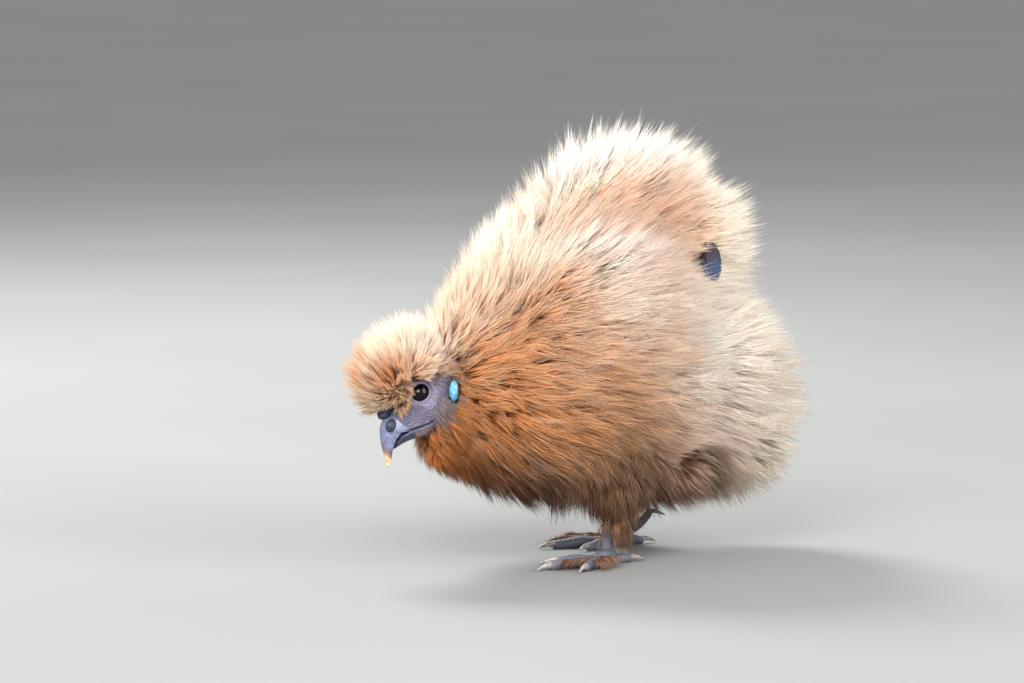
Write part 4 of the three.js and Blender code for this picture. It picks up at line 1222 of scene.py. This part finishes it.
def leg_pieces(name):
    """The shank, ball and toes of one leg as tubes, and its five claws."""
    side, ankle, hock = LEGS[name]
    origin = np.array([ankle, side * FOOT_SPREAD, 0.0])
    q = np.linspace(0, 1, 60)
    height = 6 + q * (HOCK_HIGH - 6)
    lean = shank_lean(ankle, hock, height)
    round_ = SHANK_THICK * (0.92 + 0.2 * bell(height - 6, 6) + 0.25 * bell(height - 52, 12)) * rounded(q)
    shank_turn = turned(180 - side * TOE_OUT)
    parts = [shell("shank", tube_rings(np.stack([lean, height], -1), round_, round_ * 1.08, shank_turn, origin))]
    parts.append(shell("ball", ball(origin + [0, 0, 5], shank_turn, np.array([5.6, 5.2, 5]))))
    claws = {}
    for toe, (length, splay, part, rise) in TOES.items():
        toe_turn = shank_turn @ turned(-side * splay)
        thick = TOE_THICK * part * smooth_between(q, [0, 0.34, 0.6, 0.82, 1], [1.25, 0.94, 1.04, 0.86, 0.76])
        up = SOLE * thick + (5 if rise else 0) + rise * q * q
        spots = np.stack([q * length, up], -1)
        parts.append(shell(toe, tube_rings(spots, thick * rounded(q), thick * rounded(q), toe_turn, origin)))
        c = np.linspace(0, 1, 26)
        base = 2.5 + (4 if rise else 0) + rise
        curve = np.stack([length - 2.5 + c * 10.5, base + 1.9 * c * (1 - c) - 1.9 * c**2], -1)
        horn_thick = 1.95 * part * (1 - c) ** 0.6 * np.sqrt(np.clip(c / 0.06, 0.02, 1)) + 0.03
        claws[toe] = shell(
            f"horn_{toe}_{name}", tube_rings(curve, horn_thick * 0.85, horn_thick, toe_turn, origin, 18)
        )
    return melted(joined(f"leg_{name}", parts), 0.5, 3), claws


def scaled(leg, name):
    """Raises rows of scutes over the leg: low steps along its run, and flattens what would go under the floor."""
    side, ankle, _ = LEGS[name]
    points = drawn_points(leg)
    normals = np.empty(len(points) * 3, np.float32)
    leg.data.vertices.foreach_get("normal", normals)
    normals = normals.reshape(-1, 3)
    away = np.hypot(points[:, 0] - ankle, points[:, 1] - side * FOOT_SPREAD)
    on_toe = 1 - step_up(points[:, 2], 9, 13)
    run = np.where(on_toe > 0.5, away, points[:, 2])
    saw = (run / 2.3) % 1.0
    front = np.where(on_toe > 0.5, step_up(normals[:, 2], -0.1, 0.4), step_up(-normals[:, 0], -0.2, 0.4))
    points = points + normals * (front * 0.28 * (saw**0.6 - 0.6) + 0.08 * ripple(points, 1.1, 70))[:, None]
    points[:, 2] = np.maximum(points[:, 2], 0.0)
    leg.data.vertices.foreach_set("co", ((points + shift) * MM).ravel().astype(np.float32))
    dark = (0.75 + 0.5 * saw * front + 0.12 * ripple(points, 6, 71))[:, None]
    leg.data.update()
    tint(leg, np.clip(linear(96, 98, 112) * dark, 0, 1))


def leg_finish():
    """Scaly skin: each scute's tint, dry, with fine creases."""
    finish = Finish("leg_skin", 0.6, Specular_IOR_Level=0.4)
    finish.colour(finish.tint())
    finish.bump(finish.noise(1800), 0.0003, 0.6)
    return finish.material


def claw_finish():
    """Claw horn: grey, paler in streaks."""
    finish = Finish("claw_horn", 0.4, Specular_IOR_Level=0.5)
    finish.colour(finish.ramp(finish.noise(700), (0.3, linear(96, 94, 100)), (0.7, linear(176, 168, 158))))
    finish.bump(finish.noise(1500, 2.0), 0.0001, 0.5)
    return finish.material


leg_material, claw_material = leg_finish(), claw_finish()
for name in LEGS:
    leg, claws = leg_pieces(name)
    scaled(leg, name)
    dress(leg, "leg_skin", f"shank_{name}", f"foot_{name}", material=leg_material)
    for toe, claw in claws.items():
        dress(claw, "claw", f"claw_{toe}_{name}", material=claw_material)
    print(f"leg_{name}:", len(leg.data.polygons), "faces and", len(claws), "claws")

# %% [markdown]
# ## Light
# The photograph has soft light all round and a low sun behind the bird, which lights the tips of its silk. A large
# lamp high at the back does that, a wider one at the front fills, and pale air fills the rest.

# %% Floor, lamps and air
def lamp(name, at, size, power, colour):
    """A square soft lamp at a place in metres, turned to the bird."""
    data = bpy.data.lights.new(name, "AREA")
    data.shape, data.size, data.energy, data.color = "SQUARE", size, power, colour
    thing = bpy.data.objects.new(name, data)
    bpy.context.scene.collection.objects.link(thing)
    back = unit(np.array(at) - [0, 0, 0.11])
    right = unit(np.cross([0, 0, 1.0], back))
    rows = np.eye(4)
    rows[:3, 0], rows[:3, 1], rows[:3, 2], rows[:3, 3] = right, np.cross(back, right), back, at
    thing.matrix_world = Matrix(rows.tolist())


lamp("back_lamp", [0.0, 1.4, 1.4], 0.7, 56, (1.0, 0.99, 0.97))
lamp("front_lamp", [-1.4, -1.5, 1.3], 1.2, 78, (1.0, 0.99, 0.97))
lamp("side_lamp", [0.9, -1.4, 0.9], 1.2, 30, (1.0, 0.99, 0.98))

world = bpy.data.worlds.new("air")
world.use_nodes = True
air = world.node_tree.nodes["Background"]
air.inputs["Color"].default_value = (0.97, 0.98, 1.0, 1)
air.inputs["Strength"].default_value = 0.9
bpy.context.scene.world = world

bpy.ops.mesh.primitive_plane_add(size=80)
floor = bpy.context.object
floor.name = "floor"
floor_finish = Finish("pale_floor", 0.9)
clouds = floor_finish.ramp(floor_finish.noise(3, 2.0), (0.3, (0.2, 0.205, 0.2)), (0.7, (0.215, 0.22, 0.215)))
floor_finish.colour(clouds)
floor.data.materials.append(floor_finish.material)
bpy.context.scene.view_settings.view_transform = "Standard"
